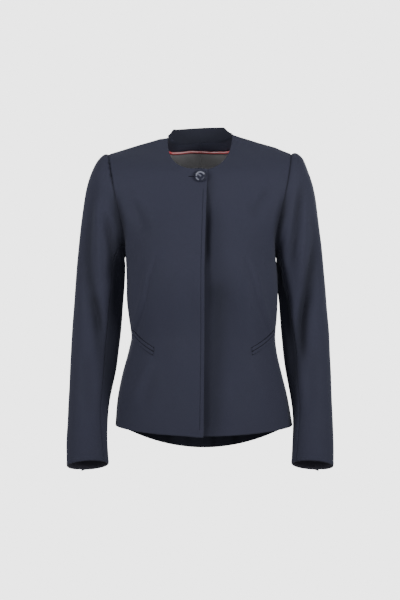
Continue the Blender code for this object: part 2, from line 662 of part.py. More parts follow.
def add_lining(grids, materials, collection):
    """The back lining below the facing, the piping between them, and the back hem's turn-up."""
    inset = CLOTH + LAYER_GAP + LINING_EASE
    under = inset + THIN_CLOTH + LAYER_GAP + PIPING_RADIUS + PIPING_EASE
    across = np.linspace(0.0, COLUMNS - SIDE_TRIM, COLUMNS + 1)
    hem = np.meshgrid(np.linspace(HEM_TRIM, HEM_ROW, 3), across, indexing="ij")
    path_row, path_column = facing_edge(np.linspace(0.0, 1.0, 20))
    path_row = np.minimum(path_row, SHOULDER_ROW - SIDE_TRIM)
    lining, turn_up, piping = [], [], []
    for side in (-1, 1):
        back = grids["back", side]
        normal = normals(back, -side)
        lining.append(sample(back - normal * inset, *lining_grid()))
        turn_up.append(sample(back - normal * (CLOTH + LAYER_GAP), *hem))
        piping.append(sample(back - normal * under, path_row, path_column))
    add_wall("back_lining", both_backs(lining), materials["lining"], collection, THIN_CLOTH)
    add_wall("back_hem_turn_up", both_backs(turn_up), materials["facing"], collection,
             THIN_CLOTH)
    path = np.concatenate([piping[0][::-1], piping[1][1:]])
    add_tube("neck_piping", path, PIPING_RADIUS, materials["piping"], collection)


def add_tube(name, path, radius, material, collection):
    curve = bpy.data.curves.new(name, "CURVE")
    curve.dimensions = "3D"
    curve.bevel_depth = radius
    curve.bevel_resolution = 2
    curve.use_fill_caps = True
    spline = curve.splines.new("POLY")
    spline.points.add(len(path) - 1)
    for point, place in zip(spline.points, path):
        point.co = (*place, 1.0)
    tube = bpy.data.objects.new(name, curve)
    collection.objects.link(tube)
    curve.materials.append(material)


def pocket_strip(grid, side, height, rows):
    """Points of a welt on a front: along the pocket's line, between two heights above it."""
    share = np.linspace(0.0, 1.0, POCKET_COLUMNS + 1)
    angle = POCKET_INNER_ANGLE + (POCKET_OUTER_ANGLE - POCKET_INNER_ANGLE) * share
    line_z = POCKET_INNER_Z + (POCKET_OUTER_Z - POCKET_INNER_Z) * share
    centre = front_edge(POCKET_INNER_Z, side) - float(body_level("sway", POCKET_INNER_Z))
    first = math.acos(side * centre / float(body_level("half", POCKET_INNER_Z)))
    column = (first - angle) / first * COLUMNS
    row_rise = (UNDERARM_Z - HEM_SIDE_Z) / ROWS_BELOW
    raised = grid + normals(grid, side) * (THIN_CLOTH + 1.6 * LAYER_GAP)
    strip = []
    for level in np.linspace(height[0], height[1], rows):
        z = line_z + level
        row = (z - HEM_SIDE_Z) / row_rise
        for _ in range(6):
            row += (z - sample(grid, row, column)[:, 2]) / row_rise
        strip.append(sample(raised, row, column))
    return np.array(strip)


def add_pockets(grids, materials, collection):
    for side, label in ((-1, "right"), (1, "left")):
        for part, height in (
            ("upper", (HALF_SLOT, HALF_SLOT + WELT_HEIGHT)),
            ("lower", (-HALF_SLOT - WELT_HEIGHT, -HALF_SLOT)),
        ):
            strip = pocket_strip(grids["front", side], side, height, 3)
            add_wall("welt_" + part + "_" + label, strip, materials["cloth"], collection,
                     THIN_CLOTH)


def add_button(grids, materials, collection):
    """A turned button: a shank, a dished back, a round rim and a hollowed face."""
    radius, thick = BUTTON_RADIUS, BUTTON_THICKNESS
    profile = [
        (0.0, thick - BUTTON_DISH), (radius * 0.62, thick - BUTTON_DISH), (radius * 0.74, thick),
        (radius * 0.88, thick), (radius * 0.98, thick * 0.83), (radius, thick * 0.62),
        (radius * 0.94, thick * 0.40), (radius * 0.55, BUTTON_LIFT), (SHANK_RADIUS, BUTTON_LIFT),
        (SHANK_RADIUS, 0.0), (0.0, 0.0),
    ]
    mesh = bpy.data.meshes.new("button")
    places = [(across, 0.0, up) for across, up in profile]
    mesh.from_pydata(places, [(k, k + 1) for k in range(len(places) - 1)], [])
    button = bpy.data.objects.new("button", mesh)
    collection.objects.link(button)
    mesh.materials.append(materials["button"])
    turn = button.modifiers.new("Turned", "SCREW")
    turn.steps = turn.render_steps = 32
    turn.use_merge_vertices = True
    turn.merge_threshold = 0.00001
    turn.use_normal_calculate = True
    neck_row = ROWS_BELOW + NECKLINE_ROW_FRONT
    rows, columns = np.meshgrid(
        np.linspace(neck_row - 3, neck_row + 2, 60), np.linspace(0, 5, 60), indexing="ij"
    )
    cloth = sample(grids["front", -1], rows, columns).reshape(-1, 3)
    away = np.hypot(cloth[:, 0] - BUTTON_PLACE[0], cloth[:, 2] - BUTTON_PLACE[1])
    seat = cloth[np.argmin(away)]
    axis = np.array([0.0, -math.cos(BUTTON_TILT), math.sin(BUTTON_TILT)])
    proud = (cloth - seat) @ axis
    under_rim = proud[away < radius].max() - BUTTON_LIFT
    under_shank = proud[away < SHANK_RADIUS * 1.4].max()
    seat = seat + axis * (max(under_rim, under_shank) + LAYER_GAP)
    button.location = seat
    button.rotation_euler = (math.radians(90) - BUTTON_TILT, 0.0, 0.0)


def main():
    clear_scene()
    collection = make_collection("suit_jacket")
    materials = {
        "cloth": make_material("navy_suiting", CLOTH_COLOUR, 0.85),
        "facing": make_material("navy_facing", FACING_COLOUR, 0.85),
        "lining": make_material("grey_lining", LINING_COLOUR, 0.45),
        "piping": make_material("red_piping", PIPING_COLOUR, 0.5),
        "button": make_material("horn_button", BUTTON_COLOUR, 0.28),
    }
    grids = add_body(materials, collection)
    add_sleeves(materials, collection)
    add_neck(grids, materials, collection)
    add_lining(grids, materials, collection)
    add_pockets(grids, materials, collection)
    add_button(grids, materials, collection)


main()
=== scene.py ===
import math

import bpy
import numpy as np
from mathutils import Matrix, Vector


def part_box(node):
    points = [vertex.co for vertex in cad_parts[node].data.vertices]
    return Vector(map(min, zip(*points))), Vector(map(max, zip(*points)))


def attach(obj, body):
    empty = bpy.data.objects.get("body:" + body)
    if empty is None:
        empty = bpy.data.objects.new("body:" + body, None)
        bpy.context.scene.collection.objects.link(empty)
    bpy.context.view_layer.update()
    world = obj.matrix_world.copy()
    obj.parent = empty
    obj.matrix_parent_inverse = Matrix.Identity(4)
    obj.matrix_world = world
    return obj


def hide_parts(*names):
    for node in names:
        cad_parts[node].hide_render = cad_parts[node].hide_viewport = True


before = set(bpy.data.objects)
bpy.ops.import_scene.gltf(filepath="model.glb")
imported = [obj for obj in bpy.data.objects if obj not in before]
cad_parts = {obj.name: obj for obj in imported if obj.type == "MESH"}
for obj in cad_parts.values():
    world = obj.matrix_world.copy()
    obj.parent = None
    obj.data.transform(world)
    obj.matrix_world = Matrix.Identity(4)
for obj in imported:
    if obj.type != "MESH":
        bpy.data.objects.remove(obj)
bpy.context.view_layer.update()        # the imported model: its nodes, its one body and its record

print("jacket: frame loaded,", len(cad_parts), "nodes")

# The jacket faces -Y and the wearer's left is +X. Sizes are in metres.
body = {
    "cloth": 0.0012,             # wall of the suiting
    "thin": 0.0010,              # wall of the lining and the facings
    "seamGap": 0.0003,           # neighbouring pieces stay this far apart
    "foldShade": 0.0210,         # a trough this deep gets the full painted shade
    "armholeLow": (-0.100, 0.085),   # the crease in the armhole starts here and is full so much lower
    "sink": 0.0080,              # its depth, its half width on the panels, and the depth that gets the full painted shade
    "sinkHalf": 0.0080,
    "sinkShade": 0.0055,
    "hemSideZ": -0.590,
    "frontDrop": 0.014,          # hem lower at the centre front than at the side
    "backDrop": 0.0575,
    "waistZ": -0.410,
    "underarmZ": -0.244,
    "shoulderTip": (0.187, -0.037),
    "armholeHalfDepth": 0.056,
    "neckTilt": 0.0034,
    "fullness": 0.85,            # power of the sine in a section: 1 is an ellipse
    "shoulderTurn": math.radians(60),
    "bustPlace": (0.082, -0.262),
    "bustHeight": 0.009,
    "bustSpread": 0.048,
    "z": (0.000, -0.050, -0.100, -0.160, -0.244, -0.285, -0.334, -0.371, -0.409, -0.440,
          -0.483, -0.532, -0.590),
    "half": (0.187, 0.185, 0.177, 0.166, 0.1537, 0.1549, 0.1545, 0.1515, 0.1473, 0.1520,
             0.1628, 0.1738, 0.1815),
    "front": (-0.040, -0.068, -0.0865, -0.1060, -0.1280, -0.1300, -0.1252, -0.1182, -0.1125,
              -0.1132, -0.1168, -0.1215, -0.1262),
    "back": (0.0570, 0.0850, 0.1020, 0.1130, 0.1120, 0.1080, 0.1010, 0.0965, 0.0950, 0.0985,
             0.1090, 0.1215, 0.1340),
    "sway": (0.0, 0.0, 0.0, 0.0, 0.0010, 0.0046, 0.0046, 0.0059, 0.0069, 0.0052,
             0.0043, 0.0054, 0.0080),
    "armholeZ": (-0.037, -0.066, -0.094, -0.125, -0.160, -0.190, -0.213, -0.244),
    "armholeX": (0.187, 0.1825, 0.1775, 0.1710, 0.1630, 0.1560, 0.1530, 0.1537),
}

sides = ((-1, "right"), (1, "left"))


def through(stations, values, at):
    # cubic through the stations, with each one's slope taken from its two neighbours
    stations = np.asarray(stations, float)
    values = np.asarray(values, float)
    if stations[0] > stations[-1]:
        stations, values = stations[::-1], values[::-1]
    slopes = np.gradient(values, stations)
    at = np.clip(at, stations[0], stations[-1])
    k = np.clip(np.searchsorted(stations, at) - 1, 0, len(stations) - 2)
    width = stations[k + 1] - stations[k]
    s = (at - stations[k]) / width
    start = (2 * s**3 - 3 * s**2 + 1) * values[k] + (s**3 - 2 * s**2 + s) * width * slopes[k]
    end = (3 * s**2 - 2 * s**3) * values[k + 1] + (s**3 - s**2) * width * slopes[k + 1]
    return start + end


def level(column, z):
    return through(body["z"], body[column], z)


def smoothStep(value):
    value = np.clip(value, 0.0, 1.0)
    return value * value * (3.0 - 2.0 * value)


def bell(distance, half):
    # 1 in the middle, falling to 1/e at the half width
    return np.exp(-((distance / half) ** 2))


def spread(count, closeness):
    # count + 1 values from 0 to 1, closer together towards both ends
    even = np.linspace(0.0, 1.0, count + 1)
    return even - closeness * np.sin(2 * np.pi * even) / (2 * np.pi)


def atShare(path, share):
    # points of a dense path at shares of its length
    length = np.concatenate([[0.0], np.cumsum(np.linalg.norm(np.diff(path, axis=0), axis=1))])
    wanted = np.asarray(share) * length[-1]
    return np.stack([np.interp(wanted, length, path[:, k]) for k in range(path.shape[1])], axis=-1)


def runLength(points, axis):
    # length run along one axis of a grid, from its first row or column
    step = np.linalg.norm(np.diff(points, axis=axis), axis=2)
    first = np.zeros_like(step[:1] if axis == 0 else step[:, :1])
    return np.concatenate([first, np.cumsum(step, axis=axis)], axis=axis)


def runBack(points, axis):
    # the same from its last row or column
    return np.flip(runLength(np.flip(points, axis), axis), axis)


def normalsOf(points, side):
    # cross product of the grid's two directions, made one long; side turns it outwards
    out = np.gradient(points, axis=1)
    up = np.gradient(points, axis=0)
    normal = np.cross(out, up) * side
    return normal / np.maximum(np.linalg.norm(normal, axis=2, keepdims=True), 1e-9)


def smoothDepth(points, spacing, reach):
    # depth Y as a smooth function of X and Z: around each place on a raster a plane is fitted to
    # the points by least squares, with bell weights; what it misses is fitted once more
    x, y, z = (points[..., k].ravel() for k in range(3))
    lowX, lowZ = x.min() - 3 * reach, z.min() - 3 * reach
    countX = int((x.max() + 3 * reach - lowX) / spacing) + 2
    countZ = int((z.max() + 3 * reach - lowZ) / spacing) + 2
    placeX = (x - lowX) / spacing
    placeZ = (z - lowZ) / spacing
    cell = np.round(placeX).astype(int) * countZ + np.round(placeZ).astype(int)
    middleX, middleZ = x.mean(), z.mean()
    offX, offZ = (x - middleX) * 10, (z - middleZ) * 10
    density = np.bincount(cell, minlength=countX * countZ)[cell]

    def weights(count):
        index = np.arange(count)
        return np.exp(-0.5 * ((index[:, None] - index[None]) * spacing / reach) ** 2)

    bellX, bellZ = weights(countX), weights(countZ)

    def gathered(values):
        raster = np.bincount(cell, values / density, countX * countZ).reshape(countX, countZ)
        return bellX @ raster @ bellZ

    one = np.ones(len(x))
    sums = {name: gathered(value) for name, value in (
        ("1", one), ("x", offX), ("z", offZ), ("xx", offX**2), ("xz", offX * offZ), ("zz", offZ**2))}
    matrix = np.stack([
        np.stack([sums["1"], sums["x"], sums["z"]], axis=-1),
        np.stack([sums["x"], sums["xx"], sums["xz"]], axis=-1),
        np.stack([sums["z"], sums["xz"], sums["zz"]], axis=-1)], axis=-2)
    matrix = matrix + 1e-9 * np.eye(3)
    rasterX = (lowX + spacing * np.arange(countX) - middleX)[:, None] * 10
    rasterZ = (lowZ + spacing * np.arange(countZ) - middleZ)[None] * 10

    def fitted(values):
        right = np.stack([gathered(values), gathered(values * offX), gathered(values * offZ)], axis=-1)
        plane = np.linalg.solve(matrix, right[..., None])[..., 0]
        raster = plane[..., 0] + plane[..., 1] * rasterX + plane[..., 2] * rasterZ
        i, j = np.floor(placeX).astype(int), np.floor(placeZ).astype(int)
        u, v = placeX - i, placeZ - j
        low = raster[i, j] * (1 - u) + raster[i + 1, j] * u
        high = raster[i, j + 1] * (1 - u) + raster[i + 1, j + 1] * u
        return low * (1 - v) + high * v

    first = fitted(y)
    return (first + fitted(y - first)).reshape(points.shape[:2])


def blurRows(points, rows, weight):
    # each row becomes a bell-weighted mean of its neighbours, by the weight given
    index = np.arange(len(points))
    kernel = np.exp(-0.5 * ((index[:, None] - index[None]) / rows) ** 2)
    kernel /= kernel.sum(axis=1, keepdims=True)
    blurred = np.tensordot(kernel, points, axes=(1, 0))
    return points + (blurred - points) * weight[..., None]


def sampleAt(points, rowValues, columnValues, row, column):
    # bilinear: the grid's points at places between its rows and columns
    r = np.interp(row, rowValues, np.arange(len(rowValues)))
    c = np.interp(column, columnValues, np.arange(len(columnValues)))
    r0 = np.clip(np.floor(r).astype(int), 0, points.shape[0] - 2)
    c0 = np.clip(np.floor(c).astype(int), 0, points.shape[1] - 2)
    v = (r - r0)[..., None]
    u = (c - c0)[..., None]
    low = points[r0, c0] * (1 - u) + points[r0, c0 + 1] * u
    high = points[r0 + 1, c0] * (1 - u) + points[r0 + 1, c0 + 1] * u
    return low * (1 - v) + high * v


def drawBack(points, firstRow=0.0, lastRow=0.0, firstColumn=0.0, lastColumn=0.0):
    # edges moved inwards along the surface, which leaves the seams' gaps
    points = points.copy()
    for edge, inner, distance in (
        (points[0], points[4], firstRow),
        (points[-1], points[-5], lastRow),
        (points[:, 0], points[:, 4], firstColumn),
        (points[:, -1], points[:, -5], lastColumn),
    ):
        step = inner - edge
        edge += step / np.maximum(np.linalg.norm(step, axis=1, keepdims=True), 1e-9) * distance
    return points


# Folds in millimetres, by piece and side: points of the line (x, z), half width at its two ends,
# height (below zero is a trough), and how far its one flank is steeper than the other.
folds = {
    ("front", 1): (
        (((14, -120), (14, -175), (14, -240), (16, -310), (20, -380)), 22, 48, -10.0, 0.0),
        (((22, -330), (20, -400), (18, -470), (14, -560), (12, -640)), 48, 28, -8.0, 0.0),
        (((14, -150), (12, -190), (11, -225), (12, -258)), 6, 6, -4.6, 0.0),
        (((46, -300), (60, -350), (76, -400), (92, -448)), 12, 16, -2.0, 0.0),
        (((104, -300), (108, -345), (114, -390), (116, -410)), 13, 13, 2.4, 0.3),
        (((142, -110), (124, -136), (105, -166)), 9, 13, -3.4, 0.0),
        (((141, -84), (126, -104), (108, -126)), 8, 10, 1.4, 0.0),
        (((120, -225), (133, -245), (143, -262)), 9, 9, -1.5, 0.0),
        (((105, -470), (128, -500), (150, -530)), 12, 14, 2.0, 0.0),
        (((55, -480), (62, -520), (66, -575)), 14, 18, 2.2, 0.0),
    ),
    ("front", -1): (
        (((-136, -138), (-122, -166), (-108, -200)), 9, 13, -3.4, 0.0),
        (((-141, -104), (-128, -122), (-112, -142)), 8, 10, 1.4, 0.0),
        (((-96, -448), (-117, -490), (-132, -521), (-142, -542)), 9, 11, 3.2, 0.0),
        (((-88, -470), (-103, -512), (-116, -556)), 10, 12, -1.8, 0.0),
        (((-44, -300), (-47, -380), (-44, -460), (-46, -540)), 16, 20, 1.5, 0.0),
        (((-120, -222), (-132, -240), (-142, -262)), 9, 9, -1.5, 0.0),
        (((-14, -230), (-17, -300), (-15, -380)), 9, 9, -0.9, 0.0),
    ),
    ("back", 1): (
        (((52, -330), (66, -390), (78, -480)), 15, 19, -3.4, 0.0),
        (((140, -150), (112, -188), (85, -230)), 11, 15, -3.2, 0.0),
        (((118, -330), (92, -372), (70, -402)), 9, 12, 1.8, 0.2),
        (((100, -470), (112, -520), (118, -575)), 13, 18, 2.4, 0.0),
        (((24, -470), (30, -540), (32, -610)), 14, 20, -1.8, 0.0),
    ),
    ("back", -1): (
        (((-45, -320), (-60, -390), (-70, -470)), 15, 19, -3.2, 0.0),
        (((-140, -140), (-114, -186), (-90, -235)), 11, 15, -3.2, 0.0),
        (((-124, -345), (-98, -380), (-78, -404)), 9, 12, 1.8, 0.2),
        (((-92, -470), (-108, -520), (-112, -575)), 13, 18, 2.4, 0.0),
        (((-26, -455), (-34, -530), (-36, -600)), 14, 20, -1.8, 0.0),
    ),
    ("sleeve front", -1): (
        (((-214, -90), (-224, -150), (-230, -205), (-231, -255), (-227, -298), (-217, -338),
          (-208, -368), (-201, -410), (-197, -490)), 10, 15, -6.8, 0.0),
        (((-220, -322), (-210, -360), (-202, -400)), 8, 9, -3.2, 0.0),
        (((-193, -160), (-183, -200), (-176, -250), (-180, -300)), 9, 10, -6.0, 0.0),
        (((-208, -135), (-206, -190), (-205, -250), (-206, -300)), 8, 9, 2.8, 0.0),
        (((-243, -300), (-241, -360), (-240, -430)), 10, 11, 1.6, 0.0),
        (((-232, -440), (-226, -500), (-222, -560)), 12, 13, -1.6, 0.0),
    ),
    ("sleeve back", -1): (
        (((-214, -140), (-222, -210), (-224, -300)), 12, 13, -5.4, 0.0),
        (((-236, -330), (-222, -368), (-204, -392)), 8, 11, -2.6, 0.3),
        (((-236, -385), (-222, -410), (-206, -428)), 7, 9, 1.8, 0.0),
        (((-200, -180), (-196, -240), (-194, -300)), 9, 10, 1.8, 0.0),
    ),
    ("sleeve front", 1): (
        (((209, -95), (203, -135), (195, -180), (187, -225), (183, -265)), 9, 9, -6.0, 0.0),
        (((228, -170), (238, -205), (234, -242), (226, -283), (218, -325), (209, -358), (202, -390),
          (199, -430), (198, -490)), 10, 16, -9.2, 0.0),
        (((219, -312), (210, -350), (204, -390), (201, -450)), 7, 10, -4.4, 0.0),
        (((213, -128), (212, -190), (207, -240), (200, -285)), 8, 9, 3.0, 0.0),
        (((246, -300), (245, -360), (244, -430)), 10, 11, 1.5, 0.0),
        (((232, -440), (228, -500), (224, -560)), 12, 13, -1.6, 0.0),
    ),
    ("sleeve back", 1): (
        (((212, -130), (220, -200), (222, -290)), 12, 13, -5.4, 0.0),
        (((238, -340), (224, -376), (206, -398)), 8, 11, -2.6, 0.3),
        (((238, -392), (224, -416), (208, -434)), 7, 9, 1.8, 0.0),
        (((200, -190), (197, -250), (195, -310)), 9, 10, 1.8, 0.0),
    ),
}


def lineDistance(x, z, path):
    # signed distance from a smooth line through the points, and the share of its length
    path = np.asarray(path, float)
    dense = np.stack(
        [through(np.arange(len(path)), path[:, k], np.linspace(0, len(path) - 1, 25)) for k in (0, 1)],
        axis=1,
    )
    legs = np.diff(dense, axis=0)
    long = np.linalg.norm(legs, axis=1)
    run = np.concatenate([[0.0], np.cumsum(long)])
    best = np.full(x.shape, 1e9)
    signed = np.zeros(x.shape)
    share = np.zeros(x.shape)
    for k in range(len(long)):
        dx, dz = x - dense[k, 0], z - dense[k, 1]
        along = (dx * legs[k, 0] + dz * legs[k, 1]) / long[k] ** 2
        inside = np.clip(along, 0.0, 1.0)
        away = np.hypot(dx - inside * legs[k, 0], dz - inside * legs[k, 1])
        turn = np.sign(dx * legs[k, 1] - dz * legs[k, 0])
        beyond = along if k in (0, len(long) - 1) else inside
        nearer = away < best
        best = np.where(nearer, away, best)
        signed = np.where(nearer, away * turn, signed)
        share = np.where(nearer, (run[k] + beyond * long[k]) / run[-1], share)
    return signed, share


def foldHeight(points, piece, side):
    # sum over the folds of a bell across the line, faded at the line's two ends
    x, z = points[..., 0] * 1000, points[..., 2] * 1000
    height = np.zeros(x.shape)
    for path, half0, half1, tall, skew in folds[piece, side]:
        signed, share = lineDistance(x, z, path)
        half = half0 + (half1 - half0) * np.clip(share, 0, 1)
        across = signed / half * (1 + skew * np.tanh(signed / half))
        fade = smoothStep((share + 0.12) / 0.4) * smoothStep((1.12 - share) / 0.4)
        height += tall * fade * bell(across, 1.0)
    return height / 1000


def ripples(points, tall, seed):
    # slow unevenness of real cloth: a few sine waves at fixed odd angles
    x, y, z = (points[..., k] for k in range(3))
    wave = np.sin(31 * x + 47 * z + seed) + 0.7 * np.sin(73 * z - 52 * x + 2.1 * seed)
    wave += 0.5 * np.sin(118 * x + 64 * z + 91 * y + 3.7 * seed)
    return tall * wave / 2.2


def seamRoll(distance, depth=0.0008, half=0.0022):
    # cloth that turns in to a seam: a bell that is deepest on the seam itself
    return -depth * bell(distance, half)


def foldedEdge(distance, radius=0.0030, depth=0.0011):
    # a turned edge: a quarter circle in section, squeezed to the depth
    near = np.clip(1 - distance / radius, 0, 1)
    return -depth * (1 - np.sqrt(np.clip(1 - near**2, 0, 1)))


def lowOnArmhole(seam):
    start, over = body["armholeLow"]
    return smoothStep((start - seam[..., 2]) / over)


def armholeSink(distance, seam, half):
    # low on the armhole the cloth falls into a deep crease; both sides of the seam sink alike,
    # away from the front or the back, by the share of the armhole's depth that the seam has there
    depth = body["sink"] * lowOnArmhole(seam) * seam[..., 1] / body["armholeHalfDepth"]
    return -depth * bell(distance, half)


def armhole(angle, side, face):
    top, low = body["shoulderTip"][1], body["underarmZ"]
    z = (top + low) / 2 + (top - low) / 2 * np.sin(angle)
    x = side * through(body["armholeZ"], body["armholeX"], z) + level("sway", z)
    y = face * body["armholeHalfDepth"] * np.cos(angle)
    return np.stack([x, y, z], axis=-1)


lap = {
    "edgeZ": (-0.600, -0.410, -0.255, -0.170, -0.080),
    "edgeX": (0.0065, 0.0087, 0.0093, 0.0116, 0.0150),
    "under": -0.030,             # the left front runs this far under the right one
    "setback": 0.0024,
    "clear": 0.006,
    "back": 0.030,
    "stitchIn": 0.0072,          # the row of stitches beside the right front's edge
    "stitchTop": -0.112,
    "groove": (0.0003, 0.0012),  # how deep that row lies, and its half width
    "hemDip": (0.0024, 0.026, 0.07),   # the right front's corner hangs lower: how much, how wide, how high
    "gap": (-0.197, 0.062, 0.0060, 0.9),   # painted shade in the gap beside the edge: middle, half length, width, how dark
    "high": (-0.145, 0.066, 0.0125, 0.80),   # the same of the wider painted shade over its upper half
    "line": 0.08,                # a faint line of painted shade along the whole edge
    "low": (0.026, 0.015, 0.021, 0.36),   # painted shade lower down: its place above and below, width, how dark
    "lowZ": (-0.285, -0.40),     # where it begins, and where it starts to move in
}


def frontEdge(z, side):
    if side > 0:
        return np.full(np.shape(z), lap["under"])
    return through(lap["edgeZ"], lap["edgeX"], z)


neck = {
    "halfWidth": 0.0662,
    "pointY": 0.005,
    "frontY": -0.078,
    "backY": 0.060,
    "backZ": -0.005,
    "frontCurve": {-1: (0.0706, 2.6), 1: (0.0722, 2.1)},   # depth and power on each side
    "standTop": 0.0212,          # height of the stand's two corners, and its arch between them
    "standArch": 0.0030,
    "standLean": 0.004,
    "standTurn": 87.0,
    "cornerHigh": {-1: 0.0555, 1: 0.0502},   # the stand's top is straight between its corners
    "cornerLow": {-1: 0.0680, 1: 0.0662},
    "liftAt": (0.050, 0.0662, 0.082, 0.120, 0.155, 0.187),   # the shoulders' rise along x
    "lift": {-1: (0.0, 0.0030, 0.0036, 0.0028, 0.0014, 0.0),
             1: (0.0, 0.0034, 0.0008, 0.0020, 0.0052, 0.0014)},
    "standEnd": 0.14,
    "facingZ": -0.0245,          # the facing's lower edge behind the neck
    "facingLevel": 0.052,        # and how far out it stays level
    "facingHalf": 0.092,         # where it meets the shoulder seam
    "facingTilt": 0.0012,
    "facingArch": 0.0034,
    "pipingRadius": 0.0026,
}


def frontPath(share, side):
    # centre line of a front above the underarm: its edge, then the neckline's curve
    depth, power = neck["frontCurve"][side]
    rise = body["underarmZ"] + (-depth - body["underarmZ"]) * np.clip(share, 0, 1)
    edgeX = side * (frontEdge(rise, side) - level("sway", rise))
    edgeY = through((-depth, -0.16, body["underarmZ"]), (neck["frontY"], -0.1060, -0.1290), rise)
    turn = np.linspace(0.0, math.pi / 2, 200)
    x = neck["halfWidth"] * np.sin(turn) ** (2 / power)
    z = -depth * np.cos(turn) ** (2 / power)
    y = neck["pointY"] + (neck["frontY"] - neck["pointY"]) * (-z / depth)
    topX = float(side * (frontEdge(-depth, side) - level("sway", -depth)))
    lead = np.linspace(topX, 0.0, 20)[:-1]
    start = np.stack([lead, np.full(19, neck["frontY"]), np.full(19, -depth)], axis=1)
    curve = atShare(np.concatenate([start, np.stack([x, y, z], axis=1)]), np.clip(share - 1, 0, 1))
    onEdge = (share <= 1)[:, None]
    return np.where(onEdge, np.stack([edgeX, edgeY, rise], axis=1), curve)


def backNeckline(degrees):
    turn = np.radians(degrees)
    x = neck["halfWidth"] * np.sin(turn)
    y = neck["pointY"] + (neck["backY"] - neck["pointY"]) * np.cos(turn)
    return np.stack([x, y, neck["backZ"] * np.cos(turn)], axis=-1)


def backPath(share):
    rise = np.linspace(body["underarmZ"], neck["backZ"], 120)
    levels = (neck["backZ"], -0.05, -0.10, -0.16, body["underarmZ"])
    centre = np.stack(
        [0 * rise, through(levels, (neck["backY"], 0.0850, 0.1020, 0.1130, 0.1120), rise), rise],
        axis=1,
    )
    onCentre = (share <= 1)[:, None]
    return np.where(onCentre, atShare(centre, np.clip(share, 0, 1)),
                    backNeckline(90 * np.clip(share - 1, 0, 1)))


# The panels' own grid steps, which the seams and the lining's places count in.
steps = {
    "below": 12,                 # rows from the hem to the underarm
    "above": 14,                 # rows from the underarm to the shoulder
    "across": 12,                # columns from the centre to the side
    "neckFront": 8,
    "neckBack": 10,
}


def panelGrid(face, side, rows, columns):
    # every row is part of a full body section: x goes as the cosine of an angle and depth as
    # a power of its sine; z runs from the centre line's height to the side's or the armhole's
    depthName, drop = ("front", body["frontDrop"]) if face < 0 else ("back", body["backDrop"])
    low, high = body["hemSideZ"], body["underarmZ"]
    below = rows <= steps["below"]
    sideZ = low + (high - low) * np.clip(rows / steps["below"], 0, 1)
    fall = drop * smoothStep((body["waistZ"] - sideZ) / (body["waistZ"] - low))
    edge = side * (frontEdge(sideZ, side) - level("sway", sideZ)) if face < 0 else 0 * sideZ
    innerLow = np.stack([edge, level(depthName, sideZ), sideZ], axis=1)
    outerLow = np.stack([level("half", sideZ), 0 * sideZ, sideZ], axis=1)

    height = np.clip((rows - steps["below"]) / steps["above"], 0, 1)
    angle = np.radians(-90 + 180 * height)
    outerHigh = armhole(angle, side, face)
    outerHigh[:, 0] = side * (outerHigh[:, 0] - level("sway", outerHigh[:, 2]))
    count = height * steps["above"]
    neckRow = steps["neckFront"] if face < 0 else steps["neckBack"]
    left = steps["above"] - neckRow
    share = np.where(count <= neckRow, count / neckRow, 1 + (count - neckRow) / left)
    innerHigh = frontPath(share, side) if face < 0 else backPath(share)

    inner = np.where(below[:, None], innerLow, innerHigh)
    outer = np.where(below[:, None], outerLow, outerHigh)
    depth = np.clip(np.abs(outer[:, 1] / inner[:, 1]), 0, 1)
    sideTurn = np.arcsin(depth ** (1 / body["fullness"])) * (1 - smoothStep((height - 0.40) / 0.3))
    shoulderTurn = body["shoulderTurn"] * np.sin(height * math.pi / 2) ** 2
    turn = np.where(below, 0.0, np.maximum(sideTurn, shoulderTurn))
    ease = 1.5 - 0.5 * smoothStep((height - 0.55) / 0.45)

    u = columns / steps["across"]
    reach = outer[:, 0] / np.cos(turn)
    first = np.arccos(np.clip(inner[:, 0] / reach, -1, 1))
    angles = first[:, None] + (turn - first)[:, None] * u[None]
    x = reach[:, None] * np.cos(angles)
    bend = np.abs(np.sin(angles)) ** body["fullness"]
    top = np.where(first > math.pi / 2, 1.0, bend[:, 0])[:, None]
    across = (bend - bend[:, -1:]) / (top - bend[:, -1:])
    y = outer[:, 1:2] + (inner[:, 1:2] - outer[:, 1:2]) * across
    start = np.maximum(inner[:, :1], 0.0)
    along = np.clip((x - start) / (outer[:, :1] - start), 0, 1)
    zHigh = inner[:, 2:] + (outer[:, 2:] - inner[:, 2:]) * along ** ease[:, None]
    zLow = sideZ[:, None] - fall[:, None] * np.abs(np.sin(angles)) ** 1.8
    z = np.where(below[:, None], zLow, zHigh)
    points = np.stack([x, y, z], axis=2)

    if face < 0:
        bust = body["bustPlace"]
        away = (x - bust[0]) ** 2 + (z - bust[1]) ** 2
        toSide = smoothStep((1 - u) / 0.35)[None]
        points[..., 1] -= body["bustHeight"] * np.exp(-away / (2 * body["bustSpread"] ** 2)) * toSide
    points[..., 0] = side * points[..., 0] + level("sway", points[..., 2])
    return points


def tiltNeck(points):
    # the left side of the neck is a little higher than the right one, as it hangs in the photo
    x = points[..., 0]
    side = np.clip(x / neck["halfWidth"], -1, 1)
    tip = body["shoulderTip"][0]
    out = smoothStep((tip - np.abs(x)) / (tip - neck["halfWidth"]))
    up = smoothStep((points[..., 2] + 0.070) / 0.060)
    tilted = points.copy()
    tilted[..., 2] += body["neckTilt"] * side * out * up
    right, left = (np.interp(np.abs(x), neck["liftAt"], neck["lift"][k]) for k in (-1, 1))
    tilted[..., 2] += np.where(x < 0, right, left) * up
    return tilted


dart = {                         # in millimetres, but for the two heights
    "line": {                    # the bust dart's seam, from the top to the pocket's outer end
        1: ((88, -240), (94, -262), (107, -298), (112, -328), (119, -352), (128, -378), (140, -404)),
        -1: ((-86, -238), (-92, -262), (-101, -298), (-106, -328), (-113, -352), (-121, -378), (-131, -404)),
    },
    "seam": (0.0017, 2.2),       # how deep in metres, half width
    "ridge": (0.0033, 9.0, 7.0),   # how high in metres, how far beside the seam, half width
}


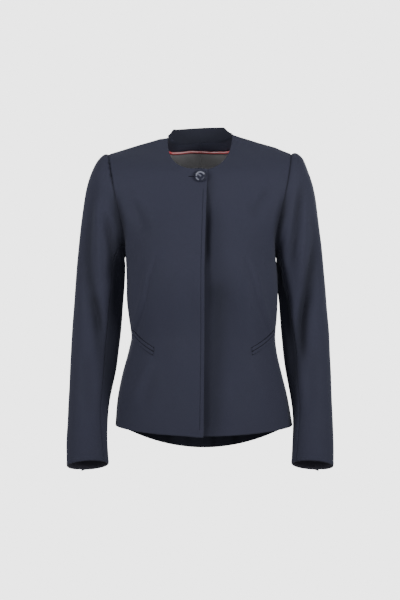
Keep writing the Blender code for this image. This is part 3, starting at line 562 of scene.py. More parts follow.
def lapShade(points, paintedShade):
    # painted shade on the left front beside the lap: in the gap, in a wider shade above, in the trough below
    z = points[..., 2]
    beside = np.clip(points[..., 0] - frontEdge(z, -1), 0, None)

    def patch(middle, half, wide, dark):
        return dark * bell(beside, wide) * np.exp(-(((z - middle) / half) ** 4))

    paintedShade = np.maximum(paintedShade, 0) + patch(*lap["gap"]) + lap["line"] * bell(2 * beside, lap["gap"][2])
    paintedShade = np.maximum(paintedShade, patch(*lap["high"]))
    above, below, wide, dark = lap["low"]
    begins, moves = lap["lowZ"]
    place = above + (below - above) * smoothStep((moves - z) / 0.12)
    return paintedShade + dark * smoothStep((begins - z) / 0.04) * bell(beside - place, wide)


def makePanel(face, side):
    # the panel's points with its folds, darts and the roll of the cloth into its seams, and the painted
    # shade of its folds and creases
    rows = (steps["below"] + steps["above"]) * spread(240, 0.75)
    columns = steps["across"] * spread(120, 0.72)
    points = panelGrid(face, side, rows, columns)
    if face < 0 and side > 0:
        edge = frontEdge(points[..., 2], -1)
        behind = 1 - smoothStep((points[..., 0] - edge - lap["clear"]) / lap["back"])
        points[..., 1] += lap["setback"] * behind
    points = tiltNeck(points)

    u = columns / steps["across"]
    v = rows / rows[-1]
    nearUnderarm = np.exp(-(((rows - steps["below"]) / 3.0) ** 4))[:, None]
    inside = smoothStep((u - 0.1) / 0.3)[None] * smoothStep((1 - u) / 0.06)[None] * nearUnderarm
    points = blurRows(points, 5.0, inside)
    points = blurRows(points, 4.0, inside)
    fromEdges = np.minimum(runLength(points, 1), runBack(points, 0))
    inside = smoothStep(fromEdges / 0.020) * smoothStep((0.80 - u) / 0.25)[None]
    inside = inside * smoothStep(v / 0.05)[:, None]
    depth = smoothDepth(points, 0.003, 0.013)
    points[..., 1] += (depth - points[..., 1]) * inside

    fromCentre, fromSide, fromTop = runLength(points, 1), runBack(points, 1), runBack(points, 0)
    free = smoothStep(fromSide / 0.018) * smoothStep(fromTop / 0.018)
    relief = foldHeight(points, "front" if face < 0 else "back", side) * free
    relief += ripples(points, 0.00045, side + 2 * face) * free
    # painted shade: the deeper a trough, the darker the cloth
    paintedShade = -relief / body["foldShade"]
    pressed = 1 - lowOnArmhole(points[:, -1:]) * smoothStep((rows - steps["below"] + 1) / 0.5)[:, None]
    relief += seamRoll(fromSide, 0.0010, 0.0024) * pressed
    relief += seamRoll(fromTop, 0.0005) + foldedEdge(runLength(points, 0))
    if face < 0:
        signed, share = lineDistance(points[..., 0] * 1000, points[..., 2] * 1000, dart["line"][side])
        onDart = smoothStep(share / 0.12) * smoothStep((1.01 - share) / 0.02)
        deep, half = dart["seam"]
        relief -= deep * bell(signed, half) * onDart
        tall, beside, half = dart["ridge"]
        ridge = tall * bell(signed * side + beside, half)
        relief += ridge * smoothStep(share / 0.3) * smoothStep((1.1 - share) / 0.4)
        relief += foldedEdge(fromCentre)
    else:
        relief += seamRoll(fromCentre)
    points[..., 2] += 0.0018 * bell(fromTop, 0.02) * smoothStep(fromCentre / 0.02)
    if face < 0 and side < 0:
        lower, wide, tall = lap["hemDip"]
        toHem = smoothStep(1 - runLength(points, 0) / tall)
        points[..., 2] -= lower * bell(fromCentre, wide) * toHem
        deep, half = lap["groove"]
        groove = deep * bell(fromCentre - lap["stitchIn"], half)
        relief -= groove * smoothStep((lap["stitchTop"] - points[..., 2]) / 0.01)
    outward = normalsOf(points, -face * side)
    onArmhole = smoothStep((rows - steps["below"]) / 0.5)[:, None]
    if face < 0 and side > 0:
        paintedShade = lapShade(points, paintedShade)
    sink = armholeSink(fromSide, points[:, -1:], body["sinkHalf"]) * onArmhole
    points[..., 1] += sink
    # painted shade: a thin line along the armhole seam, and darker where the crease sinks in
    line = 0.5 * bell(fromSide, 0.0013) * onArmhole
    paintedShade = np.clip(np.maximum(paintedShade, 0) + np.abs(sink) / body["sinkShade"] + line, 0, 1)
    points = points + outward * relief[..., None]
    return {"rows": rows, "columns": columns, "points": points, "outward": outward, "paintedShade": paintedShade}


sleeve = {
    "seamReach": 0.10,
    "crease": {-1: 0.0008, 1: 0.0028},   # the front seam stands out, and the under sleeve sinks beside it
    "under": 0.0078,
    "elbow": (0.0010, 0.75, 0.2),   # the outer edge bulges: how far, at which step, half length
    "leftElbow": (0.0020, 0.68, 0.2),
    "leftHead": (0.0042, 0.0022, 0.06, 0.05),   # out and up, at which step, half length
    "roped": {-1: 0.0003, 1: 0.0014},   # how high the sleeve head's ridge stands
    "foldGain": 1.25,
    "foldShade": 0.0105,
    "drawBack": {"firstRow": -0.0045, "firstColumn": 0.0004, "lastColumn": 0.0004},
    "turnUpTo": 0.944,           # the step that the cuff's turn-up ends at, and how far inside it lies
    "turnUpIn": 0.0022,
    "trough": {-1: (0.016, 0.016, 0.020), 1: (0.023, 0.012, 0.015)},   # its place high and low, its half
    "shade": {-1: (0.42, 0.42), 1: (0.36, 0.62)},   # painted shade of the under sleeve, at its top and its middle
    "shadeFrom": {-1: 0.000, 1: 0.005},   # how far from the seam that shade starts
    "shadeEnd": {-1: 0.93, 1: 1.04},
    "pit": {-1: (0.17, 0.15, 0.030, 0.95), 1: (0.13, 0.13, 0.016, 0.7)},   # painted shade in the pit under the arm: step, half lengths, how dark
    "sinkHalf": {-1: 0.0150, 1: 0.0090},
    "vent": (0.0014, -0.0026),   # the cuff's corners at the back seam: one short, one long
    "step": (0.0, 0.05, 0.10, 0.16, 0.23, 0.31, 0.41, 0.53, 0.64, 0.75, 0.86, 0.93, 1.0),
    "outerX": (0.187, 0.2000, 0.2128, 0.2252, 0.2346, 0.2412, 0.2488, 0.2552, 0.2605, 0.2645,
               0.2675, 0.2702, 0.2692),
    "outerZ": (-0.037, -0.0366, -0.0530, -0.080, -0.1120, -0.1580, -0.2180, -0.3000, -0.3820,
               -0.4700, -0.5600, -0.6155, -0.6705),
    "innerX": (0.1537, 0.1541, 0.1537, 0.1529, 0.1528, 0.1531, 0.1540, 0.1578, 0.1624, 0.1709,
               0.1850, 0.1877, 0.1840),
    "innerZ": (-0.244, -0.2480, -0.2530, -0.2590, -0.2670, -0.2780, -0.2980, -0.3450, -0.4080,
               -0.4760, -0.5540, -0.6030, -0.6645),
    "halfDeep": (0.056, 0.0575, 0.0585, 0.0590, 0.0585, 0.0575, 0.0555, 0.0525, 0.0490, 0.0460,
                 0.0435, 0.0425, 0.0415),
    "middleY": (0.0, 0.0, 0.001, 0.002, 0.003, 0.004, 0.006, 0.006, 0.001, -0.010,
                -0.0270, -0.0390, -0.0520),
    "tip": (0.0, 0.0, 0.0, 0.0, 0.0, 0.0, 0.0, 2.0, 6.0, 10.0, 14.0, 16.5, 18.2),
    "leftOut": (0.0, 0.0016, 0.0024, 0.0030, 0.0034, 0.0038, 0.0036, 0.0048, 0.0044, 0.0036,
                0.0020, 0.0005, 0.0),
    "frontSeam": {
        -1: (-51.4, -49.0, -46.5, -43.5, -41.0, -38.0, -34.5, -31.0, -32.0, -35.0, -42.0, -48.0, -54.0),
        1: (-60.0, -58.5, -57.0, -55.5, -54.0, -51.0, -46.0, -41.0, -38.0, -38.0, -43.0, -49.0, -54.0),
    },
    "backSeam": (218.57, 216.0, 213.0, 210.0, 207.0, 203.0, 198.0, 193.0, 187.0, 179.0,
                 169.0, 163.0, 158.0),
}


def sleeveLevel(name, step):
    return through(sleeve["step"], sleeve[name], step)


def sleeveRings(step, angles, side):
    # each ring is an ellipse through its outer and inner edge, pushed forward by half its depth
    # at angle 0; near the armhole it leans onto the armhole's line
    far, at, half = sleeve["elbow"]
    outX = sleeveLevel("outerX", step) + far * bell(step - at, half)
    outZ = sleeveLevel("outerZ", step)
    inX = sleeveLevel("innerX", step)
    if side > 0:
        far, at, half = sleeve["leftElbow"]
        outX = outX + far * bell(step - at, half)
        far, up, at, half = sleeve["leftHead"]
        outX = outX + far * bell(step - at, half)
        outZ = outZ + up * bell(step - at, half)
        inX = inX + sleeveLevel("leftOut", step)
    inX = side * inX + np.where(step == 0.0, level("sway", body["underarmZ"]), 0.0)
    outer = np.stack([side * outX, 0 * step, outZ], axis=-1)
    inner = np.stack([inX, 0 * step, sleeveLevel("innerZ", step)], axis=-1)
    tip = np.radians(sleeveLevel("tip", step))
    forward = np.stack([0 * step, -np.cos(tip), np.sin(tip)], axis=-1)
    forward = forward * sleeveLevel("halfDeep", step)[..., None]
    middle = (outer + inner) / 2
    middle[..., 1] += sleeveLevel("middleY", step)
    half = (outer - inner) / 2
    ring = middle + half * np.sin(angles)[..., None] + forward * np.cos(angles)[..., None]
    seamX = side * through(body["armholeZ"], body["armholeX"], ring[..., 2]) + level("sway", ring[..., 2])
    start = np.clip(1 - step / sleeve["seamReach"], 0, 1) ** 2
    ring[..., 0] += (seamX - ring[..., 0]) * start
    return ring


def makeSleevePart(side, which):
    # which is 0 for the upper sleeve and 1 for the under sleeve; inward is the distance from the
    # front seam, above zero on the under sleeve
    stepRow = 0.85 * spread(230, 0.8) + 0.15 * np.linspace(0, 1, 231) ** 1.15
    front = through(sleeve["step"], sleeve["frontSeam"][side], stepRow)
    back = sleeveLevel("backSeam", stepRow)
    first, last = (front, back) if which == 0 else (back - 360, front)
    across = spread(96 if which == 0 else 40, 0.72)
    degrees = first[:, None] + (last - first)[:, None] * across[None]
    step = np.repeat(stepRow[:, None], len(across), axis=1)
    points = sleeveRings(step, np.radians(degrees), side)

    facing = np.cos(np.radians(degrees))
    frontFold, backFold = (foldHeight(points, "sleeve " + face, side) for face in ("front", "back"))
    relief = np.abs(facing) * np.where(facing > 0, frontFold, backFold)
    relief *= sleeve["foldGain"] * smoothStep(step / sleeve["seamReach"])
    relief += ripples(points, 0.0004, 5 + side) * smoothStep(step / 0.1)
    fromFirst, fromLast = runLength(points, 1), runBack(points, 1)
    inward = -fromFirst if which == 0 else fromLast
    along = smoothStep((step - 0.10) / 0.22) * smoothStep((0.93 - step) / 0.22)
    high, low, half = sleeve["trough"][side]
    place = high + (low - high) * smoothStep((step - 0.42) / 0.14)
    crest = sleeve["crease"][side] * bell(inward + 0.012, 0.011)
    crest -= sleeve["under"] * bell(inward - place, half)
    relief += crest * along
    # painted shade: darker in the troughs, on the under sleeve, beside and on the front seam, and in the pit
    # under the arm
    paintedShade = np.maximum(-relief / sleeve["foldShade"], 0)
    if which == 1:
        begins, ends = sleeve["shadeFrom"][side], sleeve["shadeEnd"][side]
        shaded = smoothStep((inward - begins) / 0.012) * smoothStep((0.062 - inward) / 0.025)
        shaded *= smoothStep((step - 0.10) / 0.22) * smoothStep((ends - step) / 0.22)
        high, low = sleeve["shade"][side]
        paintedShade += (high + (low - high) * smoothStep((step - 0.42) / 0.16)) * shaded
        paintedShade += 0.36 * bell(inward - 0.007, 0.007) * smoothStep((step - 0.42) / 0.12) * along
    pitStep, pitLong, pitWide, pitDark = sleeve["pit"][side]
    paintedShade += pitDark * bell(step - pitStep, pitLong) * bell(inward, pitWide)
    paintedShade += 0.7 * bell(inward, 0.0017) * along

    fromTop, fromCuff = runLength(points, 0), runBack(points, 0)
    head = smoothStep((degrees - 5) / 40) * smoothStep((175 - degrees) / 40)
    roped = sleeve["roped"][side] * bell(fromTop - 0.007, 0.006) * head
    pucker = 0.00035 * np.sin(fromFirst * 2 * np.pi / 0.013) * bell(fromTop, 0.014) * head
    pressed = (1 - lowOnArmhole(points[:1])) * (1 - 0.5 * smoothStep((points[:1, :, 2] + 0.08) / 0.04))
    relief += roped + pucker + seamRoll(fromTop, 0.0004, 0.0024) * pressed
    relief += seamRoll(fromFirst) + seamRoll(fromLast)
    relief += foldedEdge(fromCuff) + 0.0005 * bell(fromCuff - 0.0060, 0.0018)
    corner = bell(fromLast if which == 0 else fromFirst, 0.0055) * smoothStep(1 - fromCuff / 0.025)
    outward = normalsOf(points, -side)
    points[..., 2] += sleeve["vent"][which] * corner
    sink = armholeSink(fromTop, points[:1], sleeve["sinkHalf"][side])
    points[..., 1] += sink
    # painted shade: a line along the armhole seam, wider low on the armhole, and darker where the crease
    # sinks in
    line = 1.2 * bell(fromTop, 0.0016 + 0.0050 * lowOnArmhole(points[:1]))
    paintedShade = np.clip(paintedShade + np.abs(sink) / body["sinkShade"] + line, 0, 1)
    return {"points": points + outward * relief[..., None], "outward": outward, "paintedShade": paintedShade}


def gridMesh(name, points, closeColumns=False):
    # quads between neighbouring points; the UV map holds the lengths run both ways, in metres
    rowCount, columnCount = points.shape[:2]

    def quads(index):
        corners = (index[:-1, :-1], index[:-1, 1:], index[1:, 1:], index[1:, :-1])
        return np.stack(corners, axis=-1).reshape(-1, 4)

    index = np.arange(rowCount * columnCount).reshape(rowCount, columnCount)
    uv = np.stack([runLength(points, 1), runLength(points, 0)], axis=-1).reshape(-1, 2)
    uvCorners = uv[quads(index).ravel()]
    if closeColumns:             # the last column is the first one again
        points = points[:, :-1]
        index = np.arange(rowCount * (columnCount - 1)).reshape(rowCount, columnCount - 1)
        index = np.concatenate([index, index[:, :1]], axis=1)
    corners = quads(index)
    mesh = bpy.data.meshes.new(name)
    mesh.vertices.add(points.shape[0] * points.shape[1])
    mesh.vertices.foreach_set("co", points.astype(np.float32).ravel())
    mesh.loops.add(corners.size)
    mesh.loops.foreach_set("vertex_index", corners.astype(np.int32).ravel())
    mesh.polygons.add(len(corners))
    mesh.polygons.foreach_set("loop_start", np.arange(0, corners.size, 4, dtype=np.int32))
    mesh.update(calc_edges=True)
    layer = mesh.uv_layers.new(name="cloth")
    layer.data.foreach_set("uv", uvCorners.astype(np.float32).ravel())
    mesh.validate()
    mesh.shade_smooth()
    return mesh


def endsDrawnIn(count, over):
    # 1 along a path, and round towards 0 over this many steps at both its ends
    ends = np.minimum(np.arange(count), np.arange(count)[::-1])
    return np.sqrt(np.clip(ends / over, 0.0004, 1.0))


def tubeMesh(name, path, radius, sides=12):
    # a round profile carried along the path, with its ends drawn in to a point
    tangent = np.gradient(path, axis=0)
    tangent /= np.linalg.norm(tangent, axis=1, keepdims=True)
    side = np.cross(tangent, np.array([0.0, 0.0, 1.0]))
    side /= np.linalg.norm(side, axis=1, keepdims=True)
    up = np.cross(side, tangent)
    turn = np.linspace(0, 2 * np.pi, sides + 1)
    size = radius * endsDrawnIn(len(path), 2.0)
    ring = side[:, None] * np.cos(turn)[None, :, None] + up[:, None] * np.sin(turn)[None, :, None]
    return gridMesh(name, path[:, None] + ring * size[:, None, None], True)


def setAttribute(mesh, name, values):
    attribute = mesh.attributes.new(name, "FLOAT", "POINT")
    attribute.data.foreach_set("value", np.ascontiguousarray(values).astype(np.float32).ravel())


def addPiece(name, mesh, finish, isNode=True):
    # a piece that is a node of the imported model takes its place
    material, slot = finishes[finish]
    piece = bpy.data.objects.new(name + "_piece", mesh)
    bpy.context.scene.collection.objects.link(piece)
    mesh.materials.append(material)
    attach(piece, "root")
    if isNode:
        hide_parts(name)
    return piece


def addCloth(name, points, outward, finish, closeColumns=False, paintedShade=None):
    # a cloth shell: its outer face is the points, its wall goes inwards; its cut is its own size
    own = np.cross(np.gradient(points, axis=1), np.gradient(points, axis=0))
    if float((own * outward).sum()) <= 0:
        points = points[:, ::-1]
        paintedShade = None if paintedShade is None else paintedShade[:, ::-1]
    mesh = gridMesh(name, points, closeColumns)
    if paintedShade is not None:
        setAttribute(mesh, "paintedShade", paintedShade)
    piece = addPiece(name, mesh, finish)
    solid = piece.modifiers.new("cloth wall", "SOLIDIFY")
    solid.thickness = body["cloth"] if finish == "suiting" else body["thin"]
    solid.offset = -1.0
    across = float(runLength(points, 1)[:, -1].max())
    along = float(runLength(points, 0)[-1].max())
    quads = np.cross(points[1:, 1:] - points[:-1, :-1], points[1:, :-1] - points[:-1, 1:])
    area = float(np.linalg.norm(quads, axis=2).sum() / 2)
    area = min(area, across * along)
    print(f"jacket: {name} cut {across * 1000:.0f} x {along * 1000:.0f} mm, {area * 1e4:.0f} cm2")


class Shade:
    # a socket in a node tree, so that sums on it add Math nodes
    def __init__(self, tree, socket=None):
        self.tree = tree
        self.socket = socket

    def node(self, kind, settings, inputs, out=0):
        made = self.tree.nodes.new(kind)
        for key, value in settings.items():
            setattr(made, key, value)
        for key, value in inputs.items():
            if isinstance(value, Shade):
                self.tree.links.new(value.socket, made.inputs[key])
            else:
                made.inputs[key].default_value = value
        return Shade(self.tree, made.outputs[out])

    def maths(self, operation, first, second=0.0):
        return self.node("ShaderNodeMath", {"operation": operation}, {0: first, 1: second})

    def __add__(self, other):
        return self.maths("ADD", self, other)

    __radd__ = __add__

    def __sub__(self, other):
        return self.maths("SUBTRACT", self, other)

    def __rsub__(self, other):
        return self.maths("SUBTRACT", other, self)

    def __mul__(self, other):
        return self.maths("MULTIPLY", self, other)

    __rmul__ = __mul__

    def sine(self):
        return self.maths("SINE", self)

    def clamped(self, low, high, toLow=0.0, toHigh=1.0):
        return self.node("ShaderNodeMapRange", {"clamp": True}, {
            "Value": self, "From Min": low, "From Max": high, "To Min": toLow, "To Max": toHigh})

    def mixColour(self, first, second):
        first, second = (c if isinstance(c, Shade) else (*c, 1.0) for c in (first, second))
        settings = {"data_type": "RGBA", "clamp_factor": True}
        return self.node("ShaderNodeMix", settings, {0: self, 6: first, 7: second}, 2)


def newMaterial(name, values):
    # values are the Principled sockets that stay the same all over
    material = bpy.data.materials.new(name)
    material.use_nodes = True
    shader = material.node_tree.nodes["Principled BSDF"]
    for socket, value in values.items():
        shader.inputs[socket].default_value = value
    return material, shader, Shade(material.node_tree)


def objectPlace(start):
    return start.node("ShaderNodeTexCoord", {}, {}, "Object")


def clothPlace(start):
    # lengths across and along the cloth, from its own UV map
    uv = start.node("ShaderNodeUVMap", {"uv_map": "cloth"}, {})
    return [start.node("ShaderNodeSeparateXYZ", {}, {0: uv}, out) for out in (0, 1)]


def attributeOf(start, name):
    return start.node("ShaderNodeAttribute", {"attribute_name": name}, {}, "Fac")


def noiseOf(start, place, scale, detail=2.0, rough=0.5):
    return start.node("ShaderNodeTexNoise", {}, {
        "Vector": place, "Scale": scale, "Detail": detail, "Roughness": rough}, "Fac")


def setLinks(shader, start, colour, roughness, height, strength, distance):
    links = start.tree.links
    links.new(colour.socket, shader.inputs["Base Color"])
    if roughness is not None:
        links.new(roughness.socket, shader.inputs["Roughness"])
    bump = start.node("ShaderNodeBump", {}, {
        "Strength": strength, "Distance": distance, "Height": height}, "Normal")
    links.new(bump.socket, shader.inputs["Normal"])


suiting = {
    "thread": 0.00055,           # distance between neighbouring threads
    "paintedShade": 0.55,              # how much the painted shade darkens the cloth
    # the near-black colour that the painted shade mixes towards
    "deep": (0.004, 0.005, 0.008),
    "navy suiting": ((0.0276, 0.0299, 0.0510), (0.0424, 0.0444, 0.0735), 0.14),   # two colours, sheen
    "navy facing": ((0.0275, 0.0296, 0.0480), (0.0440, 0.0475, 0.0760), 0.10),
    # the same suiting about twice as light: painted light inside the shaded cuffs
    "turned-up suiting with painted light": ((0.060, 0.058, 0.079), (0.090, 0.086, 0.113), 0.14),
}


def makeSuiting(name):
    # twill: fine diagonal ribs from the sum of the two thread counts, with melange fibres, darkened where
    # the mesh carries painted shade
    dark, light, sheen = suiting[name]
    material, shader, start = newMaterial(name, {
        "Sheen Weight": sheen,
        "Sheen Roughness": 0.45,
        "Sheen Tint": (0.75, 0.80, 1.0, 1.0),
        "Specular IOR Level": 0.28,
    })
    place = objectPlace(start)
    across, along = clothPlace(start)
    count = 2 * math.pi / suiting["thread"]
    rib = (across * count + along * count).sine() * 0.5 + 0.5
    cross = (across * (2 * count)).sine() * (along * (2 * count)).sine() * 0.5 + 0.5
    fibre = noiseOf(start, place, 1400.0, 2.0, 0.6)
    melange = noiseOf(start, place, 420.0, 3.0, 0.65)
    broad = noiseOf(start, place, 9.0)
    tone = rib * 0.22 + fibre * 0.30 + melange * 0.45 + broad * 0.25 - 0.12
    colour = tone.clamped(0.1, 0.9).mixColour(dark, light)
    colour = (attributeOf(start, "paintedShade") * suiting["paintedShade"]).mixColour(colour, suiting["deep"])
    height = rib * 0.5 + cross * 0.25 + fibre * 0.45
    setLinks(shader, start, colour, broad.clamped(0.3, 0.7, 0.80, 0.90), height, 0.35, 0.00018)
    return material


satin = {
    "grey": (0.418, 0.414, 0.428),
    "paintedShade": 0.55,              # how much the painted shade darkens the lining
    "warp": 15000.0,             # threads each way, in radians a metre
    "weft": 9000.0,
}


def makeLining():
    # viscose satin: smooth warp with a faint cross rib, slow changes of tone, and painted shade where the
    # mesh carries it
    material, shader, start = newMaterial("grey lining", {
        "Sheen Weight": 0.15, "Specular IOR Level": 0.45})
    across, along = clothPlace(start)
    warp = (across * satin["warp"]).sine() * 0.5 + 0.5
    weft = (along * satin["weft"]).sine() * 0.5 + 0.5
    slow = noiseOf(start, objectPlace(start), 26.0)
    tone = warp * 0.3 + weft * 0.2 + slow * 0.5
    tone = tone * 0.28 + 0.72 - attributeOf(start, "paintedShade") * satin["paintedShade"]
    colour = tone.mixColour((0.0, 0.0, 0.0), satin["grey"])
    setLinks(shader, start, colour, slow.clamped(0.3, 0.7, 0.38, 0.48), warp + weft * 0.6, 0.25, 0.0001)
    return material


bias = {
    "red": (0.60, 0.035, 0.055),
    "paintedHighlightPink": (1.0, 0.72, 0.73),   # painted highlight, where the piping faces forwards and up
    "rib": 9000.0,
}


def makePiping():
    # satin cut on the bias: slanting ribs, and a painted pink highlight on its crest
    material, shader, start = newMaterial("red piping", {"Roughness": 0.34, "Sheen Weight": 0.3})
    across, along = clothPlace(start)
    rib = (across * bias["rib"] + along * bias["rib"]).sine()
    slow = noiseOf(start, objectPlace(start), 90.0)
    tone = attributeOf(start, "crest") * (rib * 0.10 + slow.clamped(0.3, 0.7, 0.55, 1.0))
    setLinks(shader, start, tone.mixColour(bias["red"], bias["paintedHighlightPink"]), None, rib * 0.5 + slow, 0.3, 0.0001)
    return material


horn = {"dark": (0.008, 0.010, 0.026), "light": (0.27, 0.28, 0.35)}


def makeHorn():
    # cast horn look: clouds bent by a second noise, light only where the face carries the painted highlight
    material, shader, start = newMaterial("marbled horn", {
        "Coat Weight": 0.10, "Coat Roughness": 0.35, "Specular IOR Level": 0.35})
    place = objectPlace(start)
    bend = start.node("ShaderNodeTexNoise", {}, {"Vector": place, "Scale": 110.0, "Detail": 2.0}, "Color")
    shift = start.node("ShaderNodeVectorMath", {"operation": "SCALE"}, {0: bend, 3: 0.022})
    moved = start.node("ShaderNodeVectorMath", {"operation": "ADD"}, {0: place, 1: shift})
    cloud = noiseOf(start, moved, 95.0, 3.0, 0.55)
    vein = noiseOf(start, moved, 420.0)
    tone = attributeOf(start, "face") * (cloud * 0.5 + vein * 0.15).clamped(0.22, 0.42, 0.70, 1.0)
    colour = tone.mixColour(horn["dark"], horn["light"])
    setLinks(shader, start, colour, cloud.clamped(0.3, 0.7, 0.34, 0.46), vein, 0.05, 0.0001)
    return material


# near black: the thread darkened with painted shade; the same finish is the painted shadow in the pockets'
# slots
thread = {"dark": (0.003, 0.0035, 0.006), "light": (0.009, 0.010, 0.017)}


def makeThread():
    material, shader, start = newMaterial("navy thread with painted shade", {"Roughness": 0.8, "Specular IOR Level": 0.15})
    twist = noiseOf(start, objectPlace(start), 2200.0, 1.0)
    setLinks(shader, start, twist.mixColour(thread["dark"], thread["light"]), None, twist, 0.4, 0.0001)
    return material


finishes = {                     # each finish's material and slot
    "suiting": (makeSuiting("navy suiting"), "cloth"),
    "inside": (makeSuiting("navy facing"), "facing"),
    "turnUp": (makeSuiting("turned-up suiting with painted light"), "facing"),
    "lining": (makeLining(), "lining"),
    "piping": (makePiping(), "piping"),
    "horn": (makeHorn(), "button"),
    "thread": (makeThread(), "cloth"),
}
print("jacket: materials made")


def addBody():
    made = {}
    gaps = {"lastRow": body["seamGap"], "lastColumn": body["seamGap"]}
    for side, label in sides:
        for name, face, firstColumn in (("front", -1, 0.0), ("back", 1, 0.00025)):
            panel = makePanel(face, side)
            made[name, side] = panel
            points = drawBack(panel["points"], firstColumn=firstColumn, **gaps)
            addCloth(name + "_" + label, points, panel["outward"], "suiting", paintedShade=panel["paintedShade"])
    return made


def addSleeves():
    for side, label in sides:
        for which, part in ((0, "upper"), (1, "under")):
            made = makeSleevePart(side, which)
            points = drawBack(made["points"], **sleeve["drawBack"])
            addCloth(part + "_sleeve_" + label, points, made["outward"], "suiting", paintedShade=made["paintedShade"])
        angles = np.radians(np.linspace(0.0, 360.0, 121))
        step = np.repeat(np.linspace(1.0, sleeve["turnUpTo"], 16)[:, None], len(angles), axis=1)
        rings = sleeveRings(step, np.repeat(angles[None], 16, axis=0), side)
        inward = rings[:, :-1].mean(axis=1, keepdims=True) - rings
        inward /= np.linalg.norm(inward, axis=2, keepdims=True)
        points = rings + inward * sleeve["turnUpIn"]
        points[:, -1] = points[:, 0]
        addCloth("cuff_turn_up_" + label, points, -inward, "turnUp", True)


panels = addBody()
print("jacket: body panels made")
addSleeves()
print("jacket: sleeves made")


layers = {
    "gap": 0.0005,               # between one layer of cloth and the next
    "facingIn": 0.0013,          # the facing and the lining lie this far in from the back's wall
    "liningIn": 0.0014,
    "pipingIn": 0.0024,
    "liningLow": 0.0028,         # the lining starts this far under the facing's edge
    "hemHeight": 0.036,
    "sideSlack": 0.25,           # columns that the lining and the turn-up stay off the side seam
    "pleat": (0.0010, 0.006, 0.0050),    # height, middle x and half width of the lining's pleat
    "groove": (-0.0004, 0.0012, 0.0020),   # and of the line beside it
    # painted shade on the lining towards its sides, stronger on the wearer's right
    "shade": {-1: 0.68, 1: 0.50},
    # painted shade on the facing inside the stand
    "standShade": 0.85,
    "endShade": (0.6, -0.040, 0.020),    # painted shade at the facing's right end: how dark, where it starts and ends
    "hemShade": (0.75, 0.65, -0.024, 0.045),   # painted shade on the hem's turn-up: how dark, how much lighter in the middle, where and how wide
    "hemFolds": (-0.068, -0.026, 0.028, 0.075),
    "hemFoldHalf": 0.0065,
}
hemRow = layers["hemHeight"] / (body["underarmZ"] - body["hemSideZ"]) * steps["below"]


def facingEdge(share):
    # x and z on the facing's lower edge: level behind the neck, then up to the shoulder seam
    x = neck["facingHalf"] * share
    up = smoothStep((x - neck["facingLevel"]) / (neck["facingHalf"] - neck["facingLevel"]))
    tipX, tipZ = body["shoulderTip"]
    seam = tipZ * (neck["facingHalf"] - neck["halfWidth"]) / (tipX - neck["halfWidth"])
    return x, neck["facingZ"] + (seam - neck["facingZ"]) * up**1.5


def facingWave(x):
    # the facing's lower edge stands a little higher on the photo's left, near the middle
    return neck["facingTilt"] * np.tanh(x / 0.03) + neck["facingArch"] * bell(x + 0.017, 0.026)


def onPanel(name, side, row, column, lift=0.0):
    # a place in a front's or back's grid, moved outwards by the lift
    panel = panels[name, side]
    raised = panel["points"] + panel["outward"] * lift
    return sampleAt(raised, panel["rows"], panel["columns"], row, column)


def outOfPanel(name, side, row, column):
    panel = panels[name, side]
    return sampleAt(panel["outward"], panel["rows"], panel["columns"], row, column)


def onBack(side, deeper, row, column):
    return onPanel("back", side, row, column, -deeper)


def softened(values):
    # a weighted mean of each value and two neighbours on either side; each end loses two values
    return np.convolve(values, np.array([1.0, 3.0, 4.0, 3.0, 1.0]) / 12, mode="valid")


def facingPlace(side, half):
    # spokes in the back's grid, fanned from the neckline; each ends where it meets the edge's height
    fan = np.radians(90) * half**1.5
    first = steps["below"] + steps["neckBack"] + (steps["above"] - steps["neckBack"]) * half
    length = np.linspace(0.02, 7.0, 400)
    row = first[:, None] - length[None] * np.cos(fan)[:, None]
    column = length[None] * np.sin(fan)[:, None]
    there = onBack(side, 0.0, row, column)
    edgeX, edgeZ = facingEdge(np.linspace(0, 1.3, 130))
    above = there[..., 2] - np.interp(np.abs(there[..., 0]), edgeX, edgeZ) - facingWave(there[..., 0])
    last = np.argmax(above < 0, axis=1)
    pick = np.arange(len(half))
    before, after = above[pick, last - 1], above[pick, last]
    reach = length[last - 1] + (length[last] - length[last - 1]) * before / (before - after)
    reach = np.where((above < 0).any(axis=1), reach, length[-1])
    reach = softened(np.pad(reach, 2, mode="reflect", reflect_type="odd"))
    return first, fan, reach


def joined(right, left):
    # a right and a left grid, the right one mirrored, on the centre line
    return np.concatenate([right[:, ::-1], left[:, 1:]], axis=1)


def facedOut(points):
    # the grid's normals, away from the neck's middle
    outward = normalsOf(points, -1)
    return outward if (outward * points)[..., :2].sum() >= 0 else -outward


